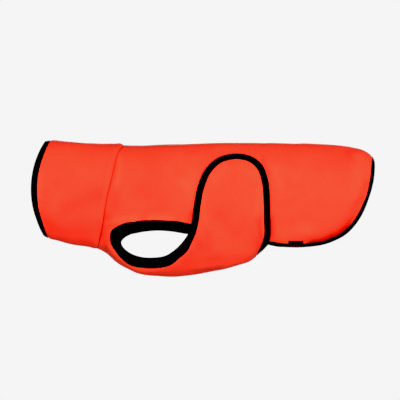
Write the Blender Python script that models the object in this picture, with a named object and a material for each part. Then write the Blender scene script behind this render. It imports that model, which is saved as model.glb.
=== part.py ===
"""Fleece dog sweater, worn and hollow, with nobody in it.

Run it with: blender --background --python part.py

The sweater is cut as three cloths: a collar tube, a coat over the back and sides, and a belly panel that
comes up between the forelegs and closes with a wing over each side of the coat. Every raw edge is bound
with elastic tape, and the leg openings have a wide tape.

Each cloth is a pattern piece. Its outline is drawn on the skin of a general dog figure, in two directions:
x, the distance along the spine, and a, the angle round the body from the spine (0) over the wearer's left
side (90 degrees) to the belly (180 degrees). The piece is filled with a net of triangles in those two
directions, wrapped on the figure, and given its thickness.

Frame: +X runs to the tail, +Z up, and the wearer's left side is at -Y. The origin is on the inside of the
coat, on the spine, at the middle of the sweater, where it rests on the wearer's back.
Sizes are in millimetres until a mesh is made.
"""

from collections import namedtuple
from math import ceil, pi, radians

import bmesh
import bpy
import numpy as np
from mathutils import Vector
from mathutils.geometry import delaunay_2d_cdt

MM = 0.001

# Cloth and tape, in millimetres.
FLEECE = 2.5  # thickness of the fleece
BOUND_FLEECE = 1.5  # the same fleece, pressed flat inside a tape
TAPE = 0.8  # thickness of one layer of tape
GAP = 0.3  # air between two pieces that touch
TAPE_WIDTH = 9.5  # neck, hem and wing tapes, over the outer face
LEG_TAPE_WIDTH = 17.0  # leg tapes
EDGE_CURL = 2.6  # how far the elastic pulls in the neck edge, the hem and the belly edge
WING_LIFT = 5.4  # from the coat's inner face to the wing's: room for the coat, two tapes and the closure
COLLAR_STEP = 2.6  # how far the collar's rear edge rises over the spine
SEAM_RISE = 0.8  # and everywhere else

# The nets.
EDGE_STEP = 10.0  # longest step along an outline
NET_STEP = 19.5  # side of the triangles inside a cloth
COLLAR_SLICES = 44  # steps round the collar
COLLAR_ROWS = 5  # steps from its neck tape to its seam

# The wearer: a general deep-chested dog, as the inner face of the cloth.
# x: place along the spine. top and bottom: height of the spine and of the belly line.
# side: height of the widest point. half: half of the width there.
Station = namedtuple("Station", "x top side bottom half")
FIGURE = [
    Station(-275, 5.6, -68.0, -140.5, 54.0),
    Station(-240, 5.2, -70.0, -146.2, 54.5),
    Station(-205, 2.4, -73.0, -156.0, 56.0),
    Station(-172, -0.3, -77.0, -161.0, 58.5),
    Station(-149, -1.6, -81.0, -168.0, 61.0),
    Station(-134, -2.3, -86.0, -183.5, 62.5),
    Station(-108, -3.0, -92.0, -198.8, 65.0),
    Station(-60, -2.1, -96.0, -203.6, 68.0),
    Station(0, 0.0, -94.0, -197.6, 69.0),
    Station(50, 0.9, -89.0, -187.0, 68.0),
    Station(82, 1.0, -84.0, -175.5, 66.0),
    Station(97, 0.9, -82.0, -165.0, 65.2),
    Station(108, 0.8, -81.0, -163.0, 65.0),
    Station(130, 0.4, -80.0, -167.5, 65.5),
    Station(180, -1.0, -79.0, -169.5, 65.5),
    Station(215, -2.5, -78.0, -161.0, 62.5),
    Station(240, -5.2, -76.0, -146.0, 57.5),
    Station(260, -9.8, -73.0, -130.0, 50.5),
    Station(272, -18.4, -71.0, -117.0, 43.5),
    Station(282, -28.0, -69.0, -104.0, 34.0),
]
ROUNDNESS = 2.6  # exponent of the sections: 2 is an ellipse, more is squarer
UNROLL = 65.0  # girth in millimetres of one radian, to lay the skin out flat

# Finished edges, seen from the wearer's left: place along the spine and height.
Point = namedtuple("Point", "x z")
NECK_FRONT = Point(-270.6, -70.2)  # foremost point of the neck opening, on each side
NECK_ARC_RADIUS = 137.0  # of the neck edge, seen from the side
SeamPoint = namedtuple("SeamPoint", "angle x")
NECK_SEAM = [
    SeamPoint(0, -122.4),
    SeamPoint(20, -124.5),
    SeamPoint(41, -133.0),
    SeamPoint(72, -143.5),
    SeamPoint(100, -152.3),
    SeamPoint(125, -159.0),
    SeamPoint(145, -164.0),
    SeamPoint(180, -168.5),
]

# One long edge runs round the coat and the belly panel. This is its left half, from the tail forwards along
# the hem, round the leg opening, then up, over and down the wing to the belly.
HEM_TAIL_X = 278.8  # where the hem crosses the spine
HEM = [
    Point(279.0, -34.0),
    Point(276.8, -54.0),
    Point(271.5, -78.8),
    Point(263.2, -102.3),
    Point(250.4, -124.4),
    Point(234.0, -142.2),
    Point(212.0, -155.8),
    Point(188.0, -163.0),
    Point(163.0, -165.5),
    Point(135.0, -165.0),
    Point(110.5, -161.2),
]
HEM_UNDER_WING = [Point(90.0, -155.0), Point(60.0, -150.8), Point(20.0, -147.8)]
LEG_TOP = [
    Point(-19.0, -143.1),
    Point(-50.6, -137.0),
    Point(-76.5, -135.4),
    Point(-98.0, -137.1),
    Point(-114.7, -142.6),
    Point(-122.8, -149.3),
]
LEG_TIP = Point(-126.6, -155.1)  # foremost point of the leg opening
LEG_BOTTOM = [
    Point(-123.6, -164.0),
    Point(-114.7, -172.5),
    Point(-98.5, -179.2),
    Point(-78.1, -180.7),
    Point(-58.0, -178.3),
    Point(-42.5, -170.0),
    Point(-30.6, -158.0),
    Point(-19.0, -141.5),
]
WING = [
    Point(-12.6, -122.0),
    Point(-9.4, -94.0),
    Point(-2.9, -64.5),
    Point(8.8, -37.0),
    Point(29.5, -19.0),
    Point(57.0, -13.2),
    Point(82.0, -18.2),
    Point(99.0, -33.5),
    Point(107.6, -54.0),
    Point(111.2, -88.0),
    Point(112.0, -120.0),
    Point(110.6, -150.0),
]
# Under the belly the edge is given by its angle, because it can't be seen from the side.
UnderPoint = namedtuple("UnderPoint", "x angle")
WING_UNDER = [UnderPoint(105.0, 152.0), UnderPoint(98.0, 166.0), UnderPoint(95.5, 180.0)]

LEG_TAPE_FROM = 2.0  # the leg tape starts here, under the wing, where the hem tape ends
WING_TAPE_FROM = -112.0  # and ends at this height on the wing's front edge, where the wing tape starts
LABEL_FRONT, LABEL_REAR = 142.0, 165.0  # the label's ends along the left hem
LABEL_DEPTH = 6.0  # how much of it shows above the hem tape
LABEL_THICKNESS = 0.9

COLOURS = {
    "fleece": (0.85, 0.06, 0.02, 1.0),
    "tape": (0.012, 0.012, 0.013, 1.0),
    "label": (0.03, 0.02, 0.018, 1.0),
}


def clear_scene():
    for thing in list(bpy.data.objects):
        bpy.data.objects.remove(thing)


def material(name):
    """A matt cloth finish in this cloth's colour."""
    found = bpy.data.materials.get(name)
    if found:
        return found
    made = bpy.data.materials.new(name)
    made.use_nodes = True
    shader = made.node_tree.nodes["Principled BSDF"]
    shader.inputs["Base Color"].default_value = COLOURS[name]
    shader.inputs["Roughness"].default_value = 0.9
    shader.inputs["Metallic"].default_value = 0.0
    return made


# Curves through the rows of a table.


def smooth(knots, values, t):
    """The smooth curve through values at knots, read at t."""
    knots, values, t = (np.asarray(n, float) for n in (knots, values, t))
    widths = np.diff(knots)
    slopes = np.diff(values) / widths
    middle = (slopes[:-1] * widths[1:] + slopes[1:] * widths[:-1]) / (widths[1:] + widths[:-1])
    bend = np.concatenate([slopes[:1], middle, slopes[-1:]])
    i = np.clip(np.searchsorted(knots, t) - 1, 0, len(widths) - 1)
    u = (t - knots[i]) / widths[i]
    rise = (values[i + 1] - values[i]) * u * u * (3 - 2 * u)
    lean = widths[i] * (bend[i] * u * (1 - u) ** 2 - bend[i + 1] * u * u * (1 - u))
    return values[i] + rise + lean


def ease(t):
    """0 below 0, 1 above 1, and a soft step between."""
    t = np.clip(t, 0.0, 1.0)
    return t * t * (3 - 2 * t)


# The figure's skin. A place on it is (x, a).


def skin(x, a):
    """The points at these places."""
    x, a = np.broadcast_arrays(np.asarray(x, float), np.asarray(a, float))
    xs = [row.x for row in FIGURE]
    top, side, bottom, half = (
        smooth(xs, [getattr(row, name) for row in FIGURE], x) for name in Station._fields[1:]
    )
    c, s = np.cos(a), np.sin(a)
    reach = (np.abs(c) ** ROUNDNESS + np.abs(s) ** ROUNDNESS) ** (-1 / ROUNDNESS)
    height = np.where(c > 0, top - side, side - bottom)
    return np.stack([x, -half * s * reach, side + height * c * reach], axis=-1)


def directions(places):
    """The skin's direction along x, its direction round the body, and its outward normal."""
    x, a = places[..., 0], places[..., 1]
    step = 1e-3
    along = (skin(x + step, a) - skin(x - step, a)) / (2 * step)
    around = (skin(x, a + step) - skin(x, a - step)) / (2 * step)
    normal = np.cross(around, along)
    return along, around, normal / np.linalg.norm(normal, axis=-1, keepdims=True)


def wrap(places, lift):
    """Points over these places, this far off the skin."""
    places = np.asarray(places, float)
    return skin(places[..., 0], places[..., 1]) + directions(places)[2] * np.asarray(lift)[..., None]


def coat_lift(places):
    """How far the coat's inside stands off the skin."""
    return np.zeros(len(places))


def belly_lift(places):
    """The belly panel's: nothing at its front, and behind the leg openings enough to lie over the coat."""
    return WING_LIFT * ease((np.asarray(places, float)[:, 0] + 112) / 78)


def collar_lift(places):
    """The collar's: it rises a little to its seam, most over the spine."""
    x, a = np.asarray(places, float).T
    rise = SEAM_RISE + (COLLAR_STEP - SEAM_RISE) * ease(np.cos(a) + 0.2)
    return rise * ease((x - seam_x(a) + 42) / 40)


def place_at(point, lift):
    """The place, on the left side, over which a tape lies at this point as seen from the side."""
    low, high = 0.0, pi
    for _ in range(40):
        middle = (low + high) / 2
        here = np.array([[point.x, middle]])
        if wrap(here, lift(here) + FLEECE + GAP + TAPE)[0, 2] > point.z:
            low = middle
        else:
            high = middle
    return (point.x, (low + high) / 2)


# Lines on the skin.


def seam_x(a):
    """Where the neck seam crosses the angle a, on either side."""
    turn = np.degrees(np.arccos(np.cos(a)))
    return smooth([row.angle for row in NECK_SEAM], [row.x for row in NECK_SEAM], turn)


def through(places):
    """A smooth line with no step over EDGE_STEP. The first and the last span only steer it."""
    places = np.asarray(places, float)
    spans = np.linalg.norm(np.diff(skin(*places.T), axis=0), axis=1)
    knots = np.concatenate([[0], np.cumsum(spans)])
    t = [knots[1:2]]
    for start, span in zip(knots[1:-2], spans[1:-1]):
        steps = ceil(span / EDGE_STEP)
        t.append(start + span * np.arange(1, steps + 1) / steps)
    t = np.concatenate(t)
    return np.stack([smooth(knots, column, t) for column in places.T], axis=1)


def inset(line, distance, side):
    """A closed line moved sideways on the skin. A line that runs round the body from the spine to the left
    moves to the tail for side 1 and to the head for side -1."""
    line = np.array(line, float)
    distance = np.broadcast_to(distance, len(line))[:, None]
    points = skin(*line.T)
    tangent = np.roll(points, -1, axis=0) - np.roll(points, 1, axis=0)
    way = side * np.cross(directions(line)[2], tangent)
    steps = 4
    for _ in range(steps):
        along, around, normal = directions(line)
        way -= (way * normal).sum(axis=1, keepdims=True) * normal
        way /= np.linalg.norm(way, axis=1, keepdims=True)
        # way = dx * along + da * around, solved for dx and da.
        grams = [(p * q).sum(axis=1) for p, q in ((along, along), (along, around), (around, around))]
        on_along, on_around = (way * along).sum(axis=1), (way * around).sum(axis=1)
        share = 1 / (grams[0] * grams[2] - grams[1] ** 2)
        dx = (on_along * grams[2] - on_around * grams[1]) * share
        da = (on_around * grams[0] - on_along * grams[1]) * share
        line += np.stack([dx, da], axis=1) * distance / steps
    return line


Edge = namedtuple("Edge", "finished fold cloth tip")


def bound_edge(finished, width, side):
    """A finished edge, the inside of its tape's fold, the cloth's own edge, and where the tape ends."""
    return Edge(*(inset(finished, d, side) for d in (0.0, TAPE, TAPE + GAP, width)))


def neck_edge():
    """The collar's bound edge: an arc of a circle as seen from the side."""
    a = np.arange(COLLAR_SLICES) * 2 * pi / COLLAR_SLICES
    x = np.full(COLLAR_SLICES, NECK_FRONT.x)
    for _ in range(8):
        z = skin(x, a)[:, 2] - NECK_FRONT.z
        x = NECK_FRONT.x + NECK_ARC_RADIUS - np.sqrt(NECK_ARC_RADIUS**2 - z**2)
    return bound_edge(np.stack([x, a], axis=1), TAPE_WIDTH, 1)


def long_edge():
    """The bound edge of the coat and the belly panel, its stop at the left leg opening's tip, and which of
    its stops are on the belly panel. The right tip is as many stops before the end as the left is after 0."""
    left = [(HEM_TAIL_X, 0.0)]
    left += [place_at(p, coat_lift) for p in HEM + HEM_UNDER_WING + LEG_TOP + [LEG_TIP]]
    tip = left[-1]
    left += [place_at(p, belly_lift) for p in LEG_BOTTOM + WING]
    left += [(p.x, radians(p.angle)) for p in WING_UNDER]
    right = [(x, 2 * pi - a) for x, a in left[-2:0:-1]]
    before = [(x, a - 2 * pi) for x, a in right[-1:]]
    after = [(x, a + 2 * pi) for x, a in left[:2]]
    line = through(before + left + right + after)[:-1]
    tip_stop = int(np.argmin(np.abs(line - tip).sum(axis=1)))
    x, a = line.T
    stop = np.arange(len(line))
    on_belly = (stop > tip_stop) & (stop < len(line) - tip_stop)
    wide = np.where(on_belly, 1 - ease((x + 50) / 38), 1 - ease((x - LEG_TAPE_FROM + 5) / 10))
    edge = bound_edge(line, TAPE_WIDTH + (LEG_TAPE_WIDTH - TAPE_WIDTH) * wide, -1)
    return edge, tip_stop, on_belly


# Meshes.


def add_mesh(name, points, faces, cloth):
    """A closed mesh of points in millimetres, with its faces turned out, as a named object."""
    mesh = bpy.data.meshes.new(name)
    work = bmesh.new()
    corners = [work.verts.new(Vector(p) * MM) for p in points]
    for face in faces:
        work.faces.new([corners[i] for i in face])
    bmesh.ops.recalc_face_normals(work, faces=work.faces)
    work.to_mesh(mesh)
    work.free()
    mesh.materials.append(material(cloth))
    mesh.shade_smooth()
    mesh.set_sharp_from_angle(angle=radians(50))
    thing = bpy.data.objects.new(name, mesh)
    bpy.context.scene.collection.objects.link(thing)
    return thing


def strip(first, second, closed=False):
    """Triangles between two rows of point numbers."""
    pairs = list(zip(first, second))
    ends = pairs[1:] + (pairs[:1] if closed else [])
    faces = []
    for (a, b), (c, d) in zip(pairs, ends):
        faces += [(a, b, d), (a, d, c)]
    return faces


def add_wall(name, places, faces, rims, middle, thickness, cloth="fleece"):
    """A cloth with two faces and closed rims. middle is how far the middle of the cloth is off the skin."""
    count = len(places)
    points = np.concatenate([wrap(places, middle + thickness / 2), wrap(places, middle - thickness / 2)])
    faces = list(faces) + [tuple(i + count for i in face) for face in faces]
    for rim in rims:
        faces += strip(rim, [i + count for i in rim], closed=True)
    return add_mesh(name, points, faces, cloth)


def inside(polygon, spots):
    """Which spots lie inside the polygon and clear of its sides."""
    crossings = np.zeros(len(spots), int)
    distance = np.full(len(spots), np.inf)
    for start, end in zip(polygon, np.roll(polygon, -1, axis=0)):
        way = end - start
        away = spots - start
        beside = (start[1] > spots[:, 1]) != (end[1] > spots[:, 1])
        with np.errstate(divide="ignore", invalid="ignore"):
            crossings += beside & (away[:, 0] < way[0] * away[:, 1] / way[1])
        share = np.clip(away @ way / (way @ way), 0, 1)
        distance = np.minimum(distance, np.linalg.norm(away - share[:, None] * way, axis=1))
    return (crossings % 2 == 1) & (distance > 0.45 * NET_STEP)


def net(polygon):
    """The knots of an even net of triangles inside the polygon, the same on both sides of its middle."""
    low, high = polygon.min(axis=0), polygon.max(axis=0)
    rise = NET_STEP * 0.866
    middle = (low[1] + high[1]) / 2
    rows = ceil((high[1] - low[1]) / 2 / rise)
    knots = [
        (x, middle + row * rise)
        for row in range(-rows, rows + 1)
        for x in np.arange(low[0] + NET_STEP / 2 * (row % 2), high[0], NET_STEP)
    ]
    knots = np.array(knots)
    return knots[inside(polygon, knots)]


def sewn_side(start, end):
    """A panel's sewn side, from start forwards to the neck seam, along it and back to end."""
    turn = 2 * pi / COLLAR_SLICES
    first, last = int(start[1] / turn - 0.2), ceil(end[1] / turn + 0.2)
    angles = np.array([start[1], *(turn * k for k in range(first, last - 1, -1)), end[1]])
    corners = np.stack([seam_x(angles) + GAP / 2, angles], axis=1)
    return np.concatenate([[(start + corners[0]) / 2], corners, [(end + corners[-1]) / 2]])


def cut_panel(name, rim, tip, lift, curl):
    """Cuts the coat or the belly panel. rim is its edge inside the tape, where it is thin and pulled in by
    curl, and tip is where the tape ends."""
    outline = np.concatenate([tip, sewn_side(tip[-1], tip[0])]) * (1, UNROLL)
    knots = net(outline)
    loop = list(range(len(outline)))
    found, _, faces, origin, _, _ = delaunay_2d_cdt(
        [Vector(p) for p in np.concatenate([outline, knots])], [], [loop], 1, 1e-6
    )
    if len(found) != len(outline) + len(knots):
        raise ValueError(f"{name}: its outline crosses itself")
    faces = [tuple(origin[i][0] for i in face) for face in faces]
    places = np.concatenate([outline, knots]) / (1, UNROLL)
    edge = [len(places) + i for i in range(len(rim))]
    faces += strip(edge, loop[: len(rim)])
    places = np.concatenate([places, rim])
    middle = lift(places) + FLEECE / 2
    middle[edge] -= curl
    thickness = np.full(len(places), FLEECE)
    thickness[edge] = BOUND_FLEECE
    return add_wall(name, places, faces, [edge + loop[len(rim) - 1 :] + loop[:1]], middle, thickness)


def add_tape(name, edge, lift, tip_lift, curl, closed=False):
    """A tape folded over a bound edge: a U of one layer, GAP clear of the cloth all round."""
    middle, tip_middle = lift + FLEECE / 2 - curl, tip_lift + FLEECE / 2
    at_rim, at_tip = BOUND_FLEECE / 2 + GAP, FLEECE / 2 + GAP
    rows = [
        wrap(edge.tip, tip_middle + at_tip + TAPE),
        wrap(edge.finished, middle + at_rim + TAPE),
        wrap(edge.finished, middle - at_rim - TAPE),
        wrap(edge.tip, tip_middle - at_tip - TAPE),
        wrap(edge.tip, tip_middle - at_tip),
        wrap(edge.fold, middle - at_rim),
        wrap(edge.fold, middle + at_rim),
        wrap(edge.tip, tip_middle + at_tip),
    ]
    stops = len(edge.tip)
    numbers = [list(range(i * stops, (i + 1) * stops)) for i in range(len(rows))]
    faces = []
    for i, row in enumerate(numbers):
        beside = numbers[(i + 1) % len(rows)]
        # Each leg's diagonals run as the cloth's do, from the rim of a stop to the tip of the next.
        faces += strip(row, beside, closed) if i in (1, 2, 5, 6) else strip(beside, row, closed)
    if not closed:
        for stop in (0, stops - 1):
            for corners in ((0, 1, 6, 7), (1, 2, 5, 6), (2, 3, 4, 5)):
                faces.append(tuple(numbers[i][stop] for i in corners))
    return add_mesh(name, np.concatenate(rows), faces, "tape")


def stops_of(edge, stops):
    """Part of a closed edge, with its ends drawn back to leave GAP to the next tape."""
    rows = []
    for row in edge:
        row = row[stops].copy()
        for end, beside in ((0, 1), (-1, -2)):
            way = row[beside] - row[end]
            length = np.linalg.norm(skin(*row[beside]) - skin(*row[end]))
            row[end] += way * GAP / 2 / length
        rows.append(row)
    return Edge(*rows)


def add_collar(neck):
    """The collar, in rings from its neck edge to its seam."""
    angles = neck.tip[:, 1]
    seam = np.stack([seam_x(angles) - GAP / 2, angles], axis=1)
    rows = [neck.cloth] + [neck.tip + (seam - neck.tip) * i / COLLAR_ROWS for i in range(COLLAR_ROWS + 1)]
    numbers = [list(range(i * COLLAR_SLICES, (i + 1) * COLLAR_SLICES)) for i in range(len(rows))]
    faces = [f for first, second in zip(numbers, numbers[1:]) for f in strip(first, second, closed=True)]
    places = np.concatenate(rows)
    middle, thickness = collar_lift(places) + FLEECE / 2, np.full(len(places), FLEECE)
    middle[numbers[0]] -= EDGE_CURL
    thickness[numbers[0]] = BOUND_FLEECE
    return add_wall("collar", places, faces, [numbers[0], numbers[-1]], middle, thickness)


def add_label(finished):
    """A tab that lies on the coat, above the hem tape on the left. finished is the whole long edge."""
    x = np.linspace(LABEL_FRONT, LABEL_REAR, 4)
    rows = []
    for distance in (TAPE_WIDTH + GAP, TAPE_WIDTH + GAP + LABEL_DEPTH):
        row = inset(finished, distance, -1)
        row = row[(row[:, 0] > 115) & (row[:, 0] < 200) & (row[:, 1] < pi)]
        row = row[np.argsort(row[:, 0])]
        rows.append(np.stack([x, np.interp(x, row[:, 0], row[:, 1])], axis=1))
    places = np.concatenate([rows[0], rows[1][::-1]])
    rim = list(range(8))
    middle = np.full(8, FLEECE + GAP + LABEL_THICKNESS / 2)
    faces = strip(rim[:4], rim[:3:-1])
    return add_wall("label", places, faces, [rim], middle, np.full(8, LABEL_THICKNESS), "label")


def main():
    clear_scene()
    neck = neck_edge()
    add_collar(neck)
    add_tape("neck_tape", neck, collar_lift(neck.cloth), collar_lift(neck.tip), EDGE_CURL, closed=True)

    edge, tip, on_belly = long_edge()
    total = len(on_belly)
    x, under = edge.tip[:, 0], np.abs(edge.tip[:, 1] - pi)
    curl = EDGE_CURL * np.where(on_belly, ease((radians(22) - under) / radians(12)), ease((x - 90) / 60))
    half_gap = np.array([0.0, GAP / 2 / UNROLL])  # between the two panels at their front seam

    # The coat has the edge from the right tip over the tail to the left tip, with the right side's angles
    # below 0. The belly panel has the rest.
    panels = {
        "back_panel": (np.arange(-tip, tip + 1), coat_lift),
        "belly_panel": (np.arange(tip, total - tip + 1), belly_lift),
    }
    for name, (stops, lift) in panels.items():
        rim, band = edge.cloth[stops], edge.tip[stops]
        for row in (rim, band):
            row[stops < 0, 1] -= 2 * pi
            row[0] += half_gap
            row[-1] -= half_gap
        cut_panel(name, rim, band, lift, curl[stops])

    # The tapes, end to end round the long edge.
    lift = np.where(on_belly, belly_lift(edge.cloth), 0.0)
    tip_lift = np.where(on_belly, belly_lift(edge.tip), 0.0)
    height = skin(*edge.tip.T)[:, 2]
    leg_from = int(np.argmax(edge.tip[:, 0] < LEG_TAPE_FROM))
    wing_from = tip + int(np.argmax(height[tip:] > WING_TAPE_FROM))
    tapes = {
        "hem_tape": np.arange(-leg_from, leg_from + 1),
        "leg_tape_left": np.arange(leg_from, wing_from + 1),
        "wing_tape": np.arange(wing_from, total - wing_from + 1),
        "leg_tape_right": np.arange(total - wing_from, total - leg_from + 1),
    }
    for name, stops in tapes.items():
        add_tape(name, stops_of(edge, stops), lift[stops], tip_lift[stops], curl[stops])
    add_label(edge.finished)


main()
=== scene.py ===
# %% [markdown]
# # A fleece dog sweater
#
# The sweater is made of three brushed fleece cloths: a collar tube, a coat over the back and sides, and a
# belly panel that comes up between the forelegs and closes with a wing over each side of the coat. Every
# raw edge is bound with black elastic tape. It keeps the shape of a dog that isn't there.
#
# A box or a cylinder can't stand in for worn cloth. So each cloth is cut here as its maker would cut it,
# from a flat outline, laid over a smooth figure, and then given what wearing does to it: soft dents, puffed
# rolls beside the tapes, and a groove along each seam.
#
# The measured model comes first. It fixes the frame: +X to the tail, +Z up, the wearer's left at -Y, in
# metres.

# %% Load the measured model
from collections import namedtuple
from math import ceil, pi, radians

import bmesh
import bpy
import numpy as np
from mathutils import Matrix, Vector
from mathutils.geometry import delaunay_2d_cdt
from mathutils.kdtree import KDTree


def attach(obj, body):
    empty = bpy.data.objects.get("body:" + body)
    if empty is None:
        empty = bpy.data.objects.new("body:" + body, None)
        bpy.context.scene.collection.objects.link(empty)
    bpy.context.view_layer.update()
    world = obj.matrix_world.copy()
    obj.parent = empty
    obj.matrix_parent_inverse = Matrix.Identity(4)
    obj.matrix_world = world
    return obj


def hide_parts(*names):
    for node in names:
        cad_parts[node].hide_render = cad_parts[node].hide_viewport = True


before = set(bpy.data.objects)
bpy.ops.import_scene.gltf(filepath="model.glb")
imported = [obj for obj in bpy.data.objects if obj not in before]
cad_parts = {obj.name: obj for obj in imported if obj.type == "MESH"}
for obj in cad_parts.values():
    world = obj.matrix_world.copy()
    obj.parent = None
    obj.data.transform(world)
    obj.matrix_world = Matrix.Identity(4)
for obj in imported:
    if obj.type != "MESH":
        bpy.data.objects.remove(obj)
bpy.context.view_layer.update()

MM = 0.001

# %% [markdown]
# ## The studio
#
# Product pictures of clothes are taken in a white room with very large, soft lights, so that dark folds and
# burnt highlights don't hide the cloth. A big soft light before each flank does most of the work: cloth that
# faces it is brightest. The white room fills in the rest, and a weak light overhead keeps the spine from
# going dull.
#
# The camera stands far off at the sweater's own height with a long lens, and looks straight at the left
# side. A long lens keeps near and far parts of a long thin thing the same size.
#
# White in such a picture is set a little under full white. A curve does that, as a printer's paper would.

# %% Camera
LOOK_AT = Vector((0.0, -0.035, -0.0877))  # the middle of the left flank
FRAME_WIDTH = 0.64  # metres of the flank across the frame
CAMERA_DISTANCE = 16.0

scene = bpy.context.scene
camera = bpy.data.objects.new("camera", bpy.data.cameras.new("camera"))
camera.location = LOOK_AT + Vector((0.0, -CAMERA_DISTANCE, 0.0))
camera.rotation_euler = (radians(90), 0.0, 0.0)
camera.data.sensor_width = 36.0
camera.data.lens = camera.data.sensor_width * CAMERA_DISTANCE / FRAME_WIDTH
camera.data.clip_end = 2 * CAMERA_DISTANCE
scene.collection.objects.link(camera)
scene.camera = camera
print("lens, mm:", round(camera.data.lens))

# %% World, lights and paper white
PAPER_WHITE = 0.921  # linear value of the brightest white in the finished picture
INK_BLACK = 0.016  # linear value that prints as black

world = bpy.data.worlds.new("white room")
world.use_nodes = True
room = world.node_tree.nodes["Background"]
room.inputs["Color"].default_value = (1.0, 1.0, 1.0, 1.0)
scene.world = world

SoftLight = namedtuple("SoftLight", "name x y z width height watts")
SOFT_LIGHTS = [
    SoftLight("left softbox", 0.4, -3.1, 0.0, 2.4, 2.4, 211),
    SoftLight("right softbox", 0.3, 3.1, 0.0, 2.4, 2.4, 201),
    SoftLight("overhead softbox", 0.0, 0.2, 3.0, 2.2, 1.6, 8),
]
for row in SOFT_LIGHTS:
    lamp = bpy.data.lights.new(row.name, "AREA")
    lamp.shape, lamp.size, lamp.size_y = "RECTANGLE", row.width, row.height
    lamp.energy = row.watts
    light = bpy.data.objects.new(row.name, lamp)
    light.location = (row.x, row.y, row.z)
    light.rotation_mode = "QUATERNION"
    light.rotation_quaternion = (LOOK_AT - light.location).to_track_quat("-Z", "Y")
    light.visible_camera = False
    scene.collection.objects.link(light)

scene.view_settings.view_transform = "Standard"
scene.view_settings.use_curve_mapping = True
curves = scene.view_settings.curve_mapping
curves.extend = "HORIZONTAL"
curves.curves[3].points[-1].location = (1.0, PAPER_WHITE)
curves.black_level = (INK_BLACK,) * 3
curves.update()
print(len(SOFT_LIGHTS), "soft lights")

# %% [markdown]
# ## Colours and nodes
#
# A few helpers serve every finish. Colours are written as sRGB hex values, as in a paint program, and
# Blender's sockets take linear light, so one function converts them. Another adds a shader node, sets it
# and links it, which keeps each finish short enough to read as a recipe.

# %% Helpers for finishes
def linear(colour):
    """An sRGB hex colour as linear light."""
    parts = [int(colour[i : i + 2], 16) / 255 for i in (1, 3, 5)]
    return (*(p / 12.92 if p <= 0.04045 else ((p + 0.055) / 1.055) ** 2.4 for p in parts), 1.0)


def feed(tree, target, name, value):
    """Gives a node's input a number, a colour, a node, or one of a node's outputs as (node, name)."""
    socket = next(s for s in target.inputs if s.enabled and name in (s.name, s.identifier))
    if isinstance(value, bpy.types.Node):
        value = (value, None)
    if isinstance(value, tuple) and isinstance(value[0], bpy.types.Node):
        source, output = value
        found = next(s for s in source.outputs if s.enabled and output in (None, s.name, s.identifier))
        tree.links.new(found, socket)
    else:
        socket.default_value = value


def node(tree, kind, inputs=None, **settings):
    """Adds a node with these settings, and feeds its inputs."""
    made = tree.nodes.new(kind)
    for name, value in settings.items():
        setattr(made, name, value)
    for name, value in (inputs or {}).items():
        feed(tree, made, name, value)
    return made


def finish(name):
    """A new material, its node tree and its Principled shader."""
    made = bpy.data.materials.new(name)
    made.use_nodes = True
    return made, made.node_tree, made.node_tree.nodes["Principled BSDF"]


def per_metre(size):
    """The Scale that makes one feature of a pattern this many millimetres across."""
    return 1 / (size * MM)


print("a pale grey, #F5F5F5, is", round(linear("#F5F5F5")[0], 3), "in linear light")

# %% [markdown]
# ## Light from the room
#
# A room that looks nearly white would drown the two big lights if it lit the cloth as brightly as it looks.
# So the world shows the camera one white and gives the cloth a weaker one. It gives a little more from
# below, as a pale floor would, or the belly's edge would be a dull line.

# %% Light from the room
ROOM_SEEN = 0.99  # the room's white as it looks
ROOM_LIGHT, FLOOR_LIGHT = 0.36, 0.54  # what it gives from all round, and from straight below

walls = world.node_tree
way = node(walls, "ShaderNodeSeparateXYZ", {"Vector": (node(walls, "ShaderNodeTexCoord"), "Generated")})
given = {"Value": (way, "Z"), "From Min": 0.0, "From Max": -1.0, "To Min": ROOM_LIGHT, "To Max": FLOOR_LIGHT}
given = node(walls, "ShaderNodeMapRange", given)
seen = {"Value": (node(walls, "ShaderNodeLightPath"), "Is Camera Ray"), "To Min": given, "To Max": ROOM_SEEN}
feed(walls, room, "Strength", node(walls, "ShaderNodeMapRange", seen))
print("the room gives", ROOM_LIGHT, "and from below", FLOOR_LIGHT)

# %% [markdown]
# ## The floor
#
# Painted matt board, far enough below the sweater to catch only a faint shadow. Roller paint has a slight
# mottle, about 5 mm across, which keeps it from looking like a hole in the picture. A studio's floor curves
# up into its wall so that no horizon shows; this one fades into the white room towards its rim instead. It
# can also be seen through from below, so that the belly can be looked at.

# %% Floor
FLOOR_Z = -0.55  # its height, in metres
FLOOR_PLAIN, FLOOR_RADIUS = 0.7, 2.6  # where it starts to fade, and its rim

board, tree, shader = finish("matt painted board")
place = (node(tree, "ShaderNodeTexCoord"), "Object")
mottle = node(tree, "ShaderNodeTexNoise", {"Vector": place, "Scale": per_metre(5), "Detail": 2.0})
paint = {"Factor": mottle, "A": linear("#E9E9E8"), "B": linear("#EFEFEE")}
feed(tree, shader, "Base Color", node(tree, "ShaderNodeMix", paint, data_type="RGBA"))
rolled = {"Height": mottle, "Strength": 0.1, "Distance": 0.1 * MM}
feed(tree, shader, "Normal", node(tree, "ShaderNodeBump", rolled))
feed(tree, shader, "Roughness", 0.85)
far = {"Value": node(tree, "ShaderNodeVectorMath", {"Vector": place}, operation="LENGTH"),
       "From Min": FLOOR_PLAIN, "From Max": FLOOR_RADIUS}
far = node(tree, "ShaderNodeMapRange", far, interpolation_type="SMOOTHSTEP")
below = (node(tree, "ShaderNodeNewGeometry"), "Backfacing")
gone = node(tree, "ShaderNodeMath", {"Value": far, "Value_001": below}, operation="MAXIMUM")
clear = node(tree, "ShaderNodeBsdfTransparent")
faded = node(tree, "ShaderNodeMixShader", {"Fac": gone, "Shader": shader, "Shader_001": clear})
feed(tree, tree.nodes["Material Output"], "Surface", faded)

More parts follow.
